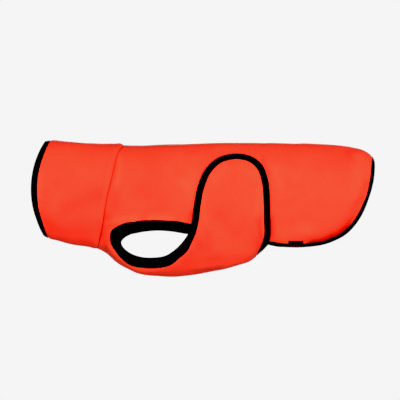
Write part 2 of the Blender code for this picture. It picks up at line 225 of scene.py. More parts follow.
work = bmesh.new()
bmesh.ops.create_circle(work, cap_ends=True, segments=96, radius=FLOOR_RADIUS)
floor_mesh = bpy.data.meshes.new("floor")
work.to_mesh(floor_mesh)
work.free()
floor_mesh.materials.append(board)
floor = bpy.data.objects.new("floor", floor_mesh)
floor.location.z = FLOOR_Z
floor.visible_diffuse = False  # the room's light from below stands for what it would throw back up
scene.collection.objects.link(floor)
print("floor at", FLOOR_Z, "m")

# %% [markdown]
# ## Brushed polyester fleece
#
# Fleece is a knit of fine polyester whose faces are brushed until loose fibres hide the loops, and then
# sheared. Up close it is a short nap in soft clumps 2 or 3 mm across, and from a few steps away an even,
# deep colour with no shine. Real fleece looks paler where its nap stands and redder where it is pressed.
#
# Here that change of colour is set to follow the form, so the colour carries painted light and shade. Each
# cloth's mesh carries a number at every point: high on ridges and on the rolls beside the tapes, and low in
# troughs, in seams and in shadowed places. The colour goes from a painted lit red where it is high, through
# a painted shaded red, to the dark red of painted shade deep in a seam. The clumps, and the broad, faint
# patches that hands leave, are added to it as a random mottle. A weak, very rough gloss and a little sheen
# stand for the loose fibres. Polyester's IOR is about 1.6, but a nap reflects far less than a smooth sheet
# of it, so the specular level is low. The finest fibres, about 0.02 mm, are drawn 0.5 mm across, because
# finer ones would not show.

# %% Fleece
CLUMP, FIBRE, PATCH = 2.4, 0.5, 45.0  # sizes of the nap's features, in millimetres
CLUMP_MOTTLE, PATCH_MOTTLE = 0.5, 0.25  # how strongly clumps and pressed patches change the colour
# Reds of painted light and shade: lit where the nap stands, shaded where it is pressed, and a seam's painted
# shade.
LIT_STANDING_RED, SHADED_PRESSED_RED, SEAM_SHADE_RED = "#F4442E", "#E63325", "#B01806"
SHADE_AND_NAP_LIE = "pile and painted shade"  # the number at each point: 1 for the painted lit red, -1 for the painted shaded red, -2 for a seam's painted shade

fleece, tree, shader = finish("brushed polyester fleece")
place = (node(tree, "ShaderNodeTexCoord"), "Object")
clump_recipe = {"Vector": place, "Scale": per_metre(CLUMP), "Detail": 3.0, "Roughness": 0.55}
clumps = node(tree, "ShaderNodeTexNoise", clump_recipe)
fibres = node(tree, "ShaderNodeTexNoise", {"Vector": place, "Scale": per_metre(FIBRE), "Detail": 2.0})
patches = node(tree, "ShaderNodeTexNoise", {"Vector": place, "Scale": per_metre(PATCH), "Detail": 1.0})
# The painted light and shade at each point, with the random clumps and patches added to it.
painted_shading = (node(tree, "ShaderNodeAttribute", attribute_name=SHADE_AND_NAP_LIE), "Fac")
lit_share = node(tree, "ShaderNodeMapRange", {"Value": painted_shading, "From Min": -1.0, "From Max": 1.0})
for mottle, strength in ((clumps, CLUMP_MOTTLE), (patches, PATCH_MOTTLE)):
    less, more = -strength / 2, strength / 2
    added = {"Value": mottle, "From Min": 0.25, "From Max": 0.75, "To Min": less, "To Max": more}
    added = {"Value": lit_share, "Value_001": node(tree, "ShaderNodeMapRange", added)}
    lit_share = node(tree, "ShaderNodeMath", added, operation="ADD", use_clamp=True)
colour = {"Factor": lit_share, "A": linear(SHADED_PRESSED_RED), "B": linear(LIT_STANDING_RED)}
colour = node(tree, "ShaderNodeMix", colour, data_type="RGBA")
# Deep in a seam the colour darkens further, into painted shade.
seam_shade_share = node(tree, "ShaderNodeMapRange", {"Value": painted_shading, "From Min": -1.0, "From Max": -2.0})
colour = {"Factor": seam_shade_share, "A": colour, "B": linear(SEAM_SHADE_RED)}
feed(tree, shader, "Base Color", node(tree, "ShaderNodeMix", colour, data_type="RGBA"))
height = node(tree, "ShaderNodeMix", {"Factor": 0.35, "A": clumps, "B": fibres}, data_type="FLOAT")
bump = node(tree, "ShaderNodeBump", {"Height": height, "Strength": 0.5, "Distance": 0.5 * MM})
feed(tree, shader, "Normal", bump)
matt = {"Value": clumps, "To Min": 0.8, "To Max": 0.95}
feed(tree, shader, "Roughness", node(tree, "ShaderNodeMapRange", matt))
feed(tree, shader, "IOR", 1.6)
feed(tree, shader, "Specular IOR Level", 0.03)
feed(tree, shader, "Sheen Weight", 0.01)
feed(tree, shader, "Sheen Roughness", 0.6)
feed(tree, shader, "Sheen Tint", linear("#FFB09A"))
print(fleece.name, "clumps", CLUMP, "mm")

# %% [markdown]
# ## Knitted elastic tape
#
# Binding tape is knitted from black polyester and elastane: fine ribs run along it, a little under 1 mm
# apart, crossed by finer loops. It is much darker and smoother than fleece, with a dull satin light on the
# ribs. The ribs have to follow the tape round its curves, so they are drawn in the tape's own map, laid
# out in metres when its mesh is made: u along the tape and v across it.

# %% Elastic tape
RIB, LOOP = 1.0, 0.8  # spacing of the ribs and of the loops, in millimetres
TAPE_RUN = "tape run"  # the name of the tape's own map


def bands(size):
    """The Scale of a wave texture whose bands are about this many millimetres apart."""
    return per_metre(size) / pi


tape, tree, shader = finish("knitted elastic tape")
run = node(tree, "ShaderNodeUVMap", uv_map=TAPE_RUN)
ribs = node(tree, "ShaderNodeTexWave", {"Vector": run, "Scale": bands(RIB)}, bands_direction="Y")
loops = {"Vector": run, "Scale": bands(LOOP), "Distortion": 1.5, "Detail": 1.0}
loops = node(tree, "ShaderNodeTexWave", loops, bands_direction="X")
knit = node(tree, "ShaderNodeMix", {"Factor": 0.3, "A": ribs, "B": loops}, data_type="FLOAT")
black = {"Factor": knit, "A": linear("#030303"), "B": linear("#070708")}
feed(tree, shader, "Base Color", node(tree, "ShaderNodeMix", black, data_type="RGBA"))
raised = {"Height": knit, "Strength": 0.5, "Distance": 0.2 * MM}
feed(tree, shader, "Normal", node(tree, "ShaderNodeBump", raised))
satin = {"Value": knit, "To Min": 0.75, "To Max": 0.6}
feed(tree, shader, "Roughness", node(tree, "ShaderNodeMapRange", satin))
feed(tree, shader, "IOR", 1.5)
feed(tree, shader, "Specular IOR Level", 0.025)
print(tape.name, "ribs", RIB, "mm")

# %% [markdown]
# ## Sewing thread
#
# The tapes are held by black thread of spun polyester, two hairy yarns twisted together, so it has only a
# touch more gloss than the tape. Real thread is about 0.3 mm thick and its twist is finer than that. Both
# are drawn 0.5 mm so that they show.

# %% Thread
TWIST = 0.5

thread, tree, shader = finish("spun polyester thread")
place = (node(tree, "ShaderNodeTexCoord"), "Object")
twist = {"Vector": place, "Scale": per_metre(TWIST), "Distortion": 2.0}
twist = node(tree, "ShaderNodeTexWave", twist, bands_direction="DIAGONAL")
spun = {"Factor": twist, "A": linear("#060606"), "B": linear("#0D0D0E")}
feed(tree, shader, "Base Color", node(tree, "ShaderNodeMix", spun, data_type="RGBA"))
raised = {"Height": twist, "Strength": 0.4, "Distance": 0.1 * MM}
feed(tree, shader, "Normal", node(tree, "ShaderNodeBump", raised))
feed(tree, shader, "Roughness", 0.6)
feed(tree, shader, "Specular IOR Level", 0.2)
print(thread.name, "twist", TWIST, "mm")

# %% [markdown]
# ## Woven label cloth
#
# The tab on the hem is a narrow damask ribbon, very dark brown, folded double and left bare. Satin ribbon
# is smoother than the tape beside it, so it takes a little more light. Its yarns are about 0.1 mm; they are
# drawn 0.4 mm apart so that they show.

# %% Label cloth
YARN = 0.4  # spacing of the yarns as drawn, in millimetres

ribbon, tree, shader = finish("woven polyester ribbon")
place = (node(tree, "ShaderNodeTexCoord"), "Object")
weft = node(tree, "ShaderNodeTexWave", {"Vector": place, "Scale": bands(YARN)}, bands_direction="Z")
warp = node(tree, "ShaderNodeTexWave", {"Vector": place, "Scale": bands(YARN)}, bands_direction="X")
weave = node(tree, "ShaderNodeMath", {"Value": weft, "Value_001": warp}, operation="MULTIPLY")
brown = {"Factor": weave, "A": linear("#150302"), "B": linear("#1E0504")}
feed(tree, shader, "Base Color", node(tree, "ShaderNodeMix", brown, data_type="RGBA"))
raised = {"Height": weave, "Strength": 0.4, "Distance": 0.1 * MM}
feed(tree, shader, "Normal", node(tree, "ShaderNodeBump", raised))
sheen = {"Value": weave, "To Min": 0.6, "To Max": 0.45}
feed(tree, shader, "Roughness", node(tree, "ShaderNodeMapRange", sheen))
feed(tree, shader, "Specular IOR Level", 0.05)
print(ribbon.name, "yarns", YARN, "mm")

# %% [markdown]
# ## The figure under the cloth
#
# Worn cloth takes its shape from the body. The figure is a skin through a few sections along the spine,
# each a rounded box between an ellipse and a rectangle. A place on it is (x, a): x in millimetres along the
# spine, and a the angle round the body, 0 at the spine, a quarter turn on the left flank, half a turn at
# the belly. Everything the sweater is made of is drawn in those two numbers and then laid on the skin.

# %% Skin
Station = namedtuple("Station", "x top side bottom half")
FIGURE = [
    Station(-275, 5.6, -68.0, -140.5, 54.0),
    Station(-240, 5.2, -70.0, -146.2, 54.5),
    Station(-205, 2.4, -73.0, -156.0, 56.0),
    Station(-172, -0.3, -77.0, -161.0, 58.5),
    Station(-149, -1.6, -81.0, -168.0, 61.0),
    Station(-134, -2.3, -86.0, -183.5, 62.5),
    Station(-108, -3.0, -92.0, -198.8, 65.0),
    Station(-60, -2.1, -96.0, -203.6, 68.0),
    Station(0, 0.0, -94.0, -197.6, 69.0),
    Station(50, 0.9, -89.0, -187.0, 68.0),
    Station(82, 1.0, -84.0, -175.5, 66.0),
    Station(97, 0.9, -82.0, -165.0, 65.2),
    Station(108, 0.8, -81.0, -163.0, 65.0),
    Station(130, 0.4, -80.0, -167.5, 65.5),
    Station(180, -1.0, -79.0, -169.5, 65.5),
    Station(215, -2.5, -78.0, -161.0, 62.5),
    Station(240, -5.2, -76.0, -146.0, 57.5),
    Station(260, -9.8, -73.0, -130.0, 50.5),
    Station(272, -18.4, -71.0, -117.0, 43.5),
    Station(282, -28.0, -69.0, -104.0, 34.0),
]
ROUNDNESS = 2.6  # exponent of a section: 2 is an ellipse
UNROLL = 65.0  # millimetres of girth in one radian, where the skin is laid out flat


def smooth(knots, values, t):
    """The smooth curve through values at knots, read at t."""
    knots, values, t = (np.asarray(n, float) for n in (knots, values, t))
    widths = np.diff(knots)
    slopes = np.diff(values) / widths
    middle = (slopes[:-1] * widths[1:] + slopes[1:] * widths[:-1]) / (widths[1:] + widths[:-1])
    bend = np.concatenate([slopes[:1], middle, slopes[-1:]])
    i = np.clip(np.searchsorted(knots, t) - 1, 0, len(widths) - 1)
    u = (t - knots[i]) / widths[i]
    rise = (values[i + 1] - values[i]) * u * u * (3 - 2 * u)
    lean = widths[i] * (bend[i] * u * (1 - u) ** 2 - bend[i + 1] * u * u * (1 - u))
    return values[i] + rise + lean


def ease(t):
    """0 below 0, 1 above 1, and a soft step between."""
    t = np.clip(t, 0.0, 1.0)
    return t * t * (3 - 2 * t)


def between(value, start, end):
    """0 up to start, 1 from end on, and a soft step between them."""
    return ease((value - start) / (end - start))


def fade(distance, reach):
    """1 at no distance, about a third at the reach, and next to nothing at twice the reach."""
    return np.exp(-((distance / reach) ** 2))


def skin(x, a):
    """Points of the skin."""
    x, a = np.broadcast_arrays(np.asarray(x, float), np.asarray(a, float))
    xs = [row.x for row in FIGURE]
    top, side, bottom, half = (
        smooth(xs, [getattr(row, name) for row in FIGURE], x) for name in Station._fields[1:]
    )
    c, s = np.cos(a), np.sin(a)
    reach = (np.abs(c) ** ROUNDNESS + np.abs(s) ** ROUNDNESS) ** (-1 / ROUNDNESS)
    height = np.where(c > 0, top - side, side - bottom)
    return np.stack([x, -half * s * reach, side + height * c * reach], axis=-1)


def directions(places):
    """The skin's direction along x, its direction round the body, and its outward normal."""
    x, a = places[..., 0], places[..., 1]
    step = 1e-3
    along = (skin(x + step, a) - skin(x - step, a)) / (2 * step)
    around = (skin(x, a + step) - skin(x, a - step)) / (2 * step)
    normal = np.cross(around, along)
    return along, around, normal / np.linalg.norm(normal, axis=-1, keepdims=True)


def wrap(places, lift):
    """Points over these places, this far off the skin."""
    places = np.asarray(places, float)
    return skin(places[..., 0], places[..., 1]) + directions(places)[2] * np.asarray(lift)[..., None]


print("girth of the chest, mm:", round(float(np.linalg.norm(
    np.diff(skin(np.zeros(361), np.radians(np.arange(361))), axis=0), axis=1).sum())))

# %% [markdown]
# ## Cloth and tape sizes
#
# Sweater fleece is about 2.5 mm thick, and a good half of that where a tape grips it. The narrow tape shows
# 10.2 mm and the leg tape 17 mm. Pieces that touch on a real sweater keep a little air between them here,
# or their faces would flicker through each other.

# %% Sizes, in millimetres
FLEECE = 2.5  # thickness of the fleece
GRIPPED = 1.5  # the same fleece inside a tape
TAPE = 0.8  # one layer of tape
GAP, BUTT = 0.3, 0.06  # air between two pieces that lie together, and between two that meet end to end
TAPE_WIDTH, LEG_TAPE_WIDTH = 10.2, 17.0
print("a taped edge is", round(GRIPPED + 2 * (GAP + TAPE), 1), "mm thick")

# %% [markdown]
# ## The neck seam, and which cloth lies over which
#
# The neck seam slants back from the spine to the throat, so it is a curve: an x for each angle. The wings
# lie over the coat, so the belly panel stands further off the skin behind the leg openings, and the
# collar's rear edge rises a little to its seam. Layers kept apart from the start never have to be pushed
# apart later.

# %% Neck seam and lifts
WING_LIFT = 5.4  # from the coat's inner face to the wing's
COLLAR_STEP, SEAM_RISE = 2.6, 0.8  # the collar's rise to its seam, over the spine and elsewhere
WING_RISES = (-112, -34)  # the belly panel starts to stand off the skin at this x, and is fully out at that
COLLAR_RISES = (-42, -2)  # and the collar starts and ends its rise this far from its seam
UPPER_SIDE = (-0.2, 0.8)  # cosines of the angle: the rise over the spine begins low on the flank

SeamPoint = namedtuple("SeamPoint", "angle x")
NECK_SEAM = [
    SeamPoint(0, -122.4),
    SeamPoint(20, -123.8),
    SeamPoint(41, -132.3),
    SeamPoint(72, -142.4),
    SeamPoint(100, -151.0),
    SeamPoint(125, -156.6),
    SeamPoint(145, -160.6),
    SeamPoint(180, -165.0),
]


def seam_x(a):
    """Where the neck seam crosses the angle a, on either side."""
    turn = np.degrees(np.arccos(np.cos(a)))
    return smooth([row.angle for row in NECK_SEAM], [row.x for row in NECK_SEAM], turn)


def lift_of(cloth, places):
    """How far the inside of this cloth stands off the skin, before any dents."""
    x, a = places.T
    if cloth == "belly":
        return WING_LIFT * between(x, *WING_RISES)
    if cloth == "collar":
        rise = SEAM_RISE + (COLLAR_STEP - SEAM_RISE) * between(np.cos(a), *UPPER_SIDE)
        return rise * between(x - seam_x(a), *COLLAR_RISES)
    return np.zeros(len(places))


print("the wings stand", round(WING_LIFT - FLEECE, 1), "mm off the coat")

# %% [markdown]
# ## The finished edges
#
# Two lines hold the whole design: the neck edge, an arc when seen from the side, and one long edge that
# runs along the hem, round the leg opening, up, over and down the wing, and under the belly to the other
# side. They are smooth curves through a few points of the left side, seen from the side, and the right
# side is the same in mirror. Every tape and every cloth edge is one of these lines moved inwards.

# %% Points of the edges
Point = namedtuple("Point", "x z")
NECK_FRONT, NECK_ARC_RADIUS = Point(-270.3, -70.4), 147.0
HEM_TAIL_X = 279.0  # where the hem crosses the spine
HEM = [
    Point(279.4, -34.0),
    Point(277.4, -54.0),
    Point(271.5, -78.8),
    Point(263.2, -102.3),
    Point(250.9, -124.7),
    Point(234.8, -142.5),
    Point(211.8, -155.2),
    Point(188.0, -162.2),
    Point(163.0, -165.1),
    Point(135.0, -163.9),
    Point(110.5, -160.2),
    Point(90.0, -155.0),
    Point(60.0, -150.8),
    Point(20.0, -147.8),
]
LEG_TOP = [
    Point(-19.0, -142.1),
    Point(-50.4, -137.3),
    Point(-76.5, -136.8),
    Point(-97.7, -139.6),
    Point(-114.0, -143.7),
    Point(-122.8, -149.3),
]
LEG_TIP = Point(-126.5, -155.4)  # foremost point of the leg opening
LEG_BOTTOM = [
    Point(-123.3, -164.1),
    Point(-114.0, -172.3),
    Point(-97.6, -178.7),
    Point(-78.1, -180.7),
    Point(-58.0, -178.3),
    Point(-42.9, -169.5),
    Point(-30.6, -158.0),
    Point(-19.0, -141.5),
]
WING = [
    Point(-13.2, -122.0),
    Point(-9.5, -94.0),
    Point(-3.3, -64.5),
    Point(9.0, -37.5),
    Point(29.3, -19.8),
    Point(57.0, -12.8),
    Point(82.6, -17.5),
    Point(100.5, -32.8),
    Point(108.4, -54.0),
    Point(112.0, -88.0),
    Point(112.6, -120.0),
    Point(112.8, -147.0),
]
UnderPoint = namedtuple("UnderPoint", "x angle")  # under the belly, by the angle
WING_UNDER = [
    UnderPoint(111.0, 142.5),
    UnderPoint(105.5, 154.0),
    UnderPoint(99.5, 167.0),
    UnderPoint(97.5, 180.0),
]
print("points on the hem, the leg opening and the wing:", len(HEM), len(LEG_TOP + LEG_BOTTOM) + 1, len(WING))

# %% [markdown]
# ## Drawing on the skin
#
# A point seen from the side has to be found on the skin, then a smooth line has to run through such points,
# and then the line has to move sideways by a tape's width without leaving the skin. Each is one helper.
# The search halves the angle until the tape's fold would show at the point's height.

# %% Lines on the skin
EDGE_STEP = 2.5  # longest step along an edge, in millimetres
FOLD_SEEN = {"hem": 2.4, "leg top": -0.7, "leg bottom": 0.3, "wing": 1.3}  # the height at which a fold shows


def place_at(point, part):
    """The place, on the left side, over which a tape's fold shows at this point as seen from the side."""
    cloth = "coat" if part in ("hem", "leg top") else "belly"
    low, high = 0.0, pi
    for _ in range(40):
        middle = (low + high) / 2
        here = np.array([[point.x, middle]])
        if wrap(here, lift_of(cloth, here) + FOLD_SEEN[part])[0, 2] > point.z:
            low = middle
        else:
            high = middle
    return (point.x, (low + high) / 2)


def through(places):
    """A smooth line with no step over EDGE_STEP. The first and the last span only steer it."""
    places = np.asarray(places, float)
    spans = np.linalg.norm(np.diff(skin(*places.T), axis=0), axis=1)
    knots = np.concatenate([[0], np.cumsum(spans)])
    t = [knots[1:2]]
    for start, span in zip(knots[1:-2], spans[1:-1]):
        steps = ceil(span / EDGE_STEP)
        t.append(start + span * np.arange(1, steps + 1) / steps)
    t = np.concatenate(t)
    return np.stack([smooth(knots, column, t) for column in places.T], axis=1)


def inset(line, distance, side):
    """A closed line moved sideways on the skin. A line that runs round the body from the spine to the left
    moves to the tail for side 1 and to the head for side -1."""
    line = np.array(line, float)
    distance = np.broadcast_to(distance, len(line))[:, None]
    points = skin(*line.T)
    tangent = np.roll(points, -1, axis=0) - np.roll(points, 1, axis=0)
    way = side * np.cross(directions(line)[2], tangent)
    steps = 4
    for _ in range(steps):
        along, around, normal = directions(line)
        way -= (way * normal).sum(axis=1, keepdims=True) * normal
        way /= np.linalg.norm(way, axis=1, keepdims=True)
        # way = dx * along + da * around, solved for dx and da.
        grams = [(p * q).sum(axis=1) for p, q in ((along, along), (along, around), (around, around))]
        on_along, on_around = (way * along).sum(axis=1), (way * around).sum(axis=1)
        share = 1 / (grams[0] * grams[2] - grams[1] ** 2)
        dx = (on_along * grams[2] - on_around * grams[1]) * share
        da = (on_around * grams[0] - on_along * grams[1]) * share
        line += np.stack([dx, da], axis=1) * distance / steps
    return line


print("edges step by", EDGE_STEP, "mm at most")

# %% [markdown]
# ## The two edges
#
# The neck edge closes on itself, so it is found a slice at a time. The long edge is drawn down the left
# side and mirrored, and its stops are numbered from the hem at the spine. Everything bound to it, cloth or
# tape, is named by those numbers.

# %% Neck edge and long edge
NECK_SLICES = 180

neck_a = np.arange(NECK_SLICES) * 2 * pi / NECK_SLICES
neck_x = np.full(NECK_SLICES, NECK_FRONT.x)
for _ in range(8):
    drop = skin(neck_x, neck_a)[:, 2] - NECK_FRONT.z
    neck_x = NECK_FRONT.x + NECK_ARC_RADIUS - np.sqrt(NECK_ARC_RADIUS**2 - drop**2)
neck_line = np.stack([neck_x, neck_a], axis=1)

left = [(HEM_TAIL_X, 0.0)] + [place_at(p, "hem") for p in HEM]
left += [place_at(p, "leg top") for p in LEG_TOP + [LEG_TIP]]
leg_tip_place = left[-1]
left += [place_at(p, "leg bottom") for p in LEG_BOTTOM] + [place_at(p, "wing") for p in WING]
left += [(p.x, radians(p.angle)) for p in WING_UNDER]
right = [(x, 2 * pi - a) for x, a in left[-2:0:-1]]
before = [(x, a - 2 * pi) for x, a in right[-1:]]
after = [(x, a + 2 * pi) for x, a in left[:2]]
long_line = through(before + left + right + after)[:-1]
STOPS = len(long_line)
TIP_STOP = int(np.argmin(np.abs(long_line - leg_tip_place).sum(axis=1)))
stop_numbers = np.arange(STOPS)
on_belly = (stop_numbers > TIP_STOP) & (stop_numbers < STOPS - TIP_STOP)
print("long edge, mm:", round(float(np.linalg.norm(np.diff(skin(*long_line.T), axis=0), axis=1).sum())),
      "in", STOPS, "stops; leg tip at stop", TIP_STOP)

# %% [markdown]
# ## What wearing does to the cloth
#
# Fleece is thick and springy, so it doesn't crease sharply. It shows broad soft dents where it is slack,
# faint ridges where it is pulled, and a small roll beside each tape, because the elastic is sewn on
# stretched and then draws the cloth in. None of it is even, and the two sides are alike but not the same.
#
# A cloth simulation could find such shapes, but on a body this smooth, springy cloth would mostly settle
# back to the smooth body. Drawing each dent as a soft trough or ridge between two points gives the ones a
# worn sweater has, and the same ones on every run. Their ends are given as seen from the side for the
# flanks, and as seen from above for the back and the belly. Where a wing dips, the coat beneath it dips as
# well, so the two layers stay apart. A slow waver bends them all, and a very low swell runs under them.

# %% Dents
# A dent is a trough where its height is below 0. Its last number paints light into the fleece's colour there
# where it is above 0, and shade where it is below 0.
Dent = namedtuple("Dent", "cloth face u1 v1 u2 v2 width height nap")
DENTS = [
    Dent("collar", "left", -262, -84, -264, -36, 7, 1.9, 0.6),
    Dent("collar", "left", -230, -80, -232, -104, 10, 0.8, 0.3),
    Dent("collar", "left", -254, -78, -253, -116, 9, -2.1, -0.5),
    Dent("collar", "left", -202, -22, -186, -38, 12, 0.7, 0.2),
    Dent("collar", "left", -212, -100, -168, -76, 17, -1.8, -0.7),
    Dent("collar", "left", -238, -130, -176, -134, 16, -0.8, -1.1),
    Dent("collar", "left", -246, -150, -178, -156, 9, -0.6, -0.7),
    Dent("collar", "left", -250, -118, -234, -118, 12, -0.8, -0.5),
    Dent("collar", "left", -232, -60, -234, -80, 8, -0.6, -0.3),
    Dent("collar", "left", -156, -120, -155, -150, 6, -1.6, -0.9),
    Dent("collar", "left", -190, -154, -160, -158, 9, -0.3, -0.4),
    Dent("coat", "left", -133, -24, -138, -54, 6, 2.6, 0.9),
    Dent("coat", "left", -98, -70, -66, -96, 14, -1.5, -0.5),
    Dent("coat", "left", -54, -34, -24, -70, 15, 1.1, 0.4),
    Dent("coat", "left", -32, -64, -18, -100, 9, 1.5, 0.5),
    Dent("coat", "left", -120, -104, -50, -108, 6, -0.7, -0.2),
    Dent("coat", "left", -140, -123, -100, -117, 7, 3.8, 1.3),
    Dent("coat", "left", -72, -118, -46, -121, 6, 3.4, 1.1),
    Dent("coat", "left", -15, -110, -16, -122, 5, -2.8, -0.9),
    Dent("coat", "left", -150, -112, -150, -150, 9, -3.2, -1.3),
    Dent("coat", "left", -137, -116, -135, -126, 7, -0.4, -1.1),
    Dent("coat", "left", 120, -40, 124, -68, 10, 2.0, 0.7),
    Dent("coat", "left", 134, -38, 154, -52, 11, 1.2, 0.4),
    Dent("coat", "left", 194, -28, 236, -26, 16, -1.6, -0.5),
    Dent("coat", "left", 249, -30, 246, -78, 13, 1.8, 0.9),
    Dent("coat", "left", 134, -142, 176, -136, 12, 2.8, 0.9),
    Dent("coat", "left", 152, -94, 128, -106, 7, -1.0, -0.3),
    Dent("coat", "left", 115, -126, 117, -144, 6, -2.6, -0.9),
    Dent("coat", "left", 257, -66, 250, -92, 8, -1.5, -0.9),
    Dent("coat", "left", 236, -14, 246, -30, 7, -0.6, -0.8),
    Dent("coat", "left", 178, -4, 208, -4, 6, -0.2, -0.5),
    Dent("coat", "left", -136, -76, -132, -96, 8, -0.8, -0.6),
    Dent("coat", "left", 104, -24, 110, -46, 4, -0.3, -0.8),
    Dent("collar", "right", -190, -112, -160, -60, 16, -3.2, -1.1),
    Dent("collar", "right", -232, -40, -222, -100, 17, 1.8, 0.6),
    Dent("collar", "right", -230, -124, -180, -130, 9, -1.8, -0.6),
    Dent("collar", "right", -210, -20, -180, -48, 10, -1.5, -0.5),
    Dent("collar", "back", -225, -12, -178, -4, 12, -0.6, -0.3),
    Dent("collar", "back", -166, 0, -140, 0, 12, 0.7, 0.2),
    Dent("collar", "back", -230, 30, -180, 36, 9, 0.8, 0.3),
    Dent("collar", "belly", -236, 0, -176, 0, 26, -0.7, -0.2),
    Dent("collar", "belly", -220, 26, -178, 18, 10, -1.6, -0.5),
    Dent("collar", "left", -138, -4, -130, -12, 5, -0.4, -0.9),
    Dent("coat", "right", -122, -30, -130, -110, 10, 1.4, 0.5),
    Dent("coat", "right", -112, -90, -50, -54, 14, -2.5, -0.8),
    Dent("coat", "right", -120, -116, -60, -110, 9, 1.8, 0.6),
    Dent("coat", "right", -34, -108, -16, -126, 8, -2.7, -0.9),
    Dent("coat", "right", 140, -60, 214, -104, 16, -2.7, -0.9),
    Dent("coat", "right", 118, -44, 126, -96, 10, 1.8, 0.6),
    Dent("coat", "right", 120, -124, 150, -110, 8, -2.5, -0.8),
    Dent("coat", "right", 256, -56, 224, -108, 15, 1.8, 0.6),
    Dent("coat", "right", 190, -158, 250, -124, 10, -3.2, -1.1),
    Dent("coat", "back", -104, -16, -30, -6, 9, -1.2, -0.4),
    Dent("coat", "back", -124, 0, -104, 0, 9, 0.5, 0.1),
    Dent("coat", "back", 254, -16, 258, 16, 9, -0.9, -0.2),
    Dent("coat", "back", -100, 20, -40, 30, 8, -0.9, -0.3),
    Dent("coat", "back", 10, 4, 100, -10, 12, -0.3, -0.9),
    Dent("coat", "left", 264, -24, 268, -56, 9, 0.2, 0.5),
    Dent("coat", "left", -30, -20, -8, -58, 12, 0.2, 0.4),
    Dent("coat", "left", 28, -10, 90, -8, 5, 0.1, 0.9),
    Dent("coat", "left", -10, -24, 6, -18, 6, 0.1, 0.5),
    Dent("coat", "left", 244, -10, 250, -16, 6, -0.2, -0.7),
    Dent("coat", "left", 122, -138, 152, -132, 9, -0.2, -0.5),
    Dent("coat", "back", 40, 34, 120, 24, 12, 0.9, 0.3),
    Dent("coat", "back", 150, 30, 232, 24, 12, -1.4, -0.5),
    Dent("coat", "back", 104, 0, 144, 0, 20, -1.1, -0.2),
    Dent("coat", "back", 172, 0, 212, 0, 18, 0.7, 0.2),
    Dent("coat", "back", 170, -34, 240, -22, 11, 0.9, 0.3),
    Dent("coat", "left", 88, -180, 102, -168, 10, -2.0, 0.0),
    Dent("coat", "right", 88, -180, 102, -168, 10, -2.0, 0.0),
    Dent("coat", "left", 97, -118, 98, -152, 7, -3.0, 0.0),
    Dent("coat", "left", 4, -60, 2, -104, 7, -1.6, 0.0),
    Dent("coat", "right", 36, -36, 66, -34, 10, -2.1, 0.0),
    Dent("coat", "right", 62, -60, 76, -114, 15, -2.1, 0.0),
    Dent("coat", "right", 60, -168, 98, -130, 13, -2.7, 0.0),
    Dent("coat", "belly", 84, -34, 84, 34, 11, -3.2, 0.0),
    Dent("coat", "belly", 92, -34, 92, 34, 14, -1.4, 0.0),
    Dent("belly", "left", 20, -54, 38, -32, 9, 2.2, 0.7),
    Dent("belly", "left", 62, -34, 86, -44, 11, 1.2, 0.4),
    Dent("belly", "left", 3, -84, 7, -128, 6, 2.0, 0.7),
    Dent("belly", "left", 92, -74, 95, -108, 6, 1.4, 0.5),
    Dent("belly", "left", 97, -126, 98, -148, 6, -1.6, -0.3),
    Dent("belly", "left", 36, -108, 58, -138, 13, -1.7, -0.6),
    Dent("belly", "left", 4, -128, 6, -166, 9, -1.8, -0.6),
    Dent("belly", "left", -28, -176, -8, -168, 8, -2.0, -0.7),
    Dent("belly", "left", 72, -122, 90, -152, 12, -1.3, -0.4),
    Dent("belly", "left", -20, -184, 26, -186, 9, -2.0, -0.7),
    Dent("belly", "left", 88, -180, 108, -162, 12, -2.0, -0.7),
    Dent("belly", "left", -150, -112, -150, -150, 9, -3.2, -1.3),
    Dent("belly", "left", -142, -170, -100, -196, 7, 2.6, 0.3),
    Dent("belly", "left", -96, -200, 26, -198, 8, 0.4, 1.0),
    Dent("belly", "left", 64, -192, 98, -175, 8, -1.0, -1.6),
    Dent("belly", "left", 8, -193, 28, -191, 7, -0.2, -0.6),
    Dent("belly", "left", 84, -158, 96, -172, 9, -0.2, -0.7),
    Dent("belly", "left", 58, -172, 80, -166, 9, 0.8, 0.5),
    Dent("belly", "left", -8, -148, -4, -158, 5, -1.4, -0.9),
    Dent("belly", "left", 101, -124, 101, -146, 5, -0.8, -1.0),
    Dent("belly", "left", -3, -118, 2, -140, 4, 0.8, 0.5),
    Dent("belly", "right", 36, -36, 66, -34, 10, -2.1, -0.7),
    Dent("belly", "right", 62, -60, 72, -110, 15, -2.1, -0.7),
    Dent("belly", "right", 20, -64, 10, -116, 10, 1.5, 0.5),
    Dent("belly", "right", 60, -168, 98, -130, 13, -2.7, -0.9),
    Dent("belly", "right", -6, -144, 4, -156, 6, -2.5, -0.8),
    Dent("belly", "right", 88, -180, 108, -162, 12, -2.0, -0.7),
    Dent("belly", "belly", 84, -28, 84, 28, 11, -2.8, -0.3),
    Dent("belly", "belly", 56, -20, 92, -16, 13, -0.1, -1.0),
    Dent("belly", "belly", 94, -28, 94, 28, 20, -1.4, -0.3),
    Dent("belly", "belly", -146, 0, -104, 0, 22, 0.4, 0.2),
    Dent("belly", "belly", -160, 0, -152, 0, 8, 1.6, 0.2),
    Dent("belly", "belly", -128, -16, -92, 14, 12, -1.3, -0.4),
    Dent("belly", "belly", -120, 34, -50, 20, 12, -2.2, -0.7),
    Dent("belly", "belly", -60, -30, 20, -16, 15, -2.7, -0.9),
    Dent("belly", "belly", -58, 0, 10, 0, 26, -0.7, -0.2),
    Dent("belly", "belly", 0, 28, 70, 12, 15, -1.2, -0.5),
    Dent("belly", "belly", 50, -26, 84, -8, 10, 1.8, 0.6),
]
print(len(DENTS), "dents")

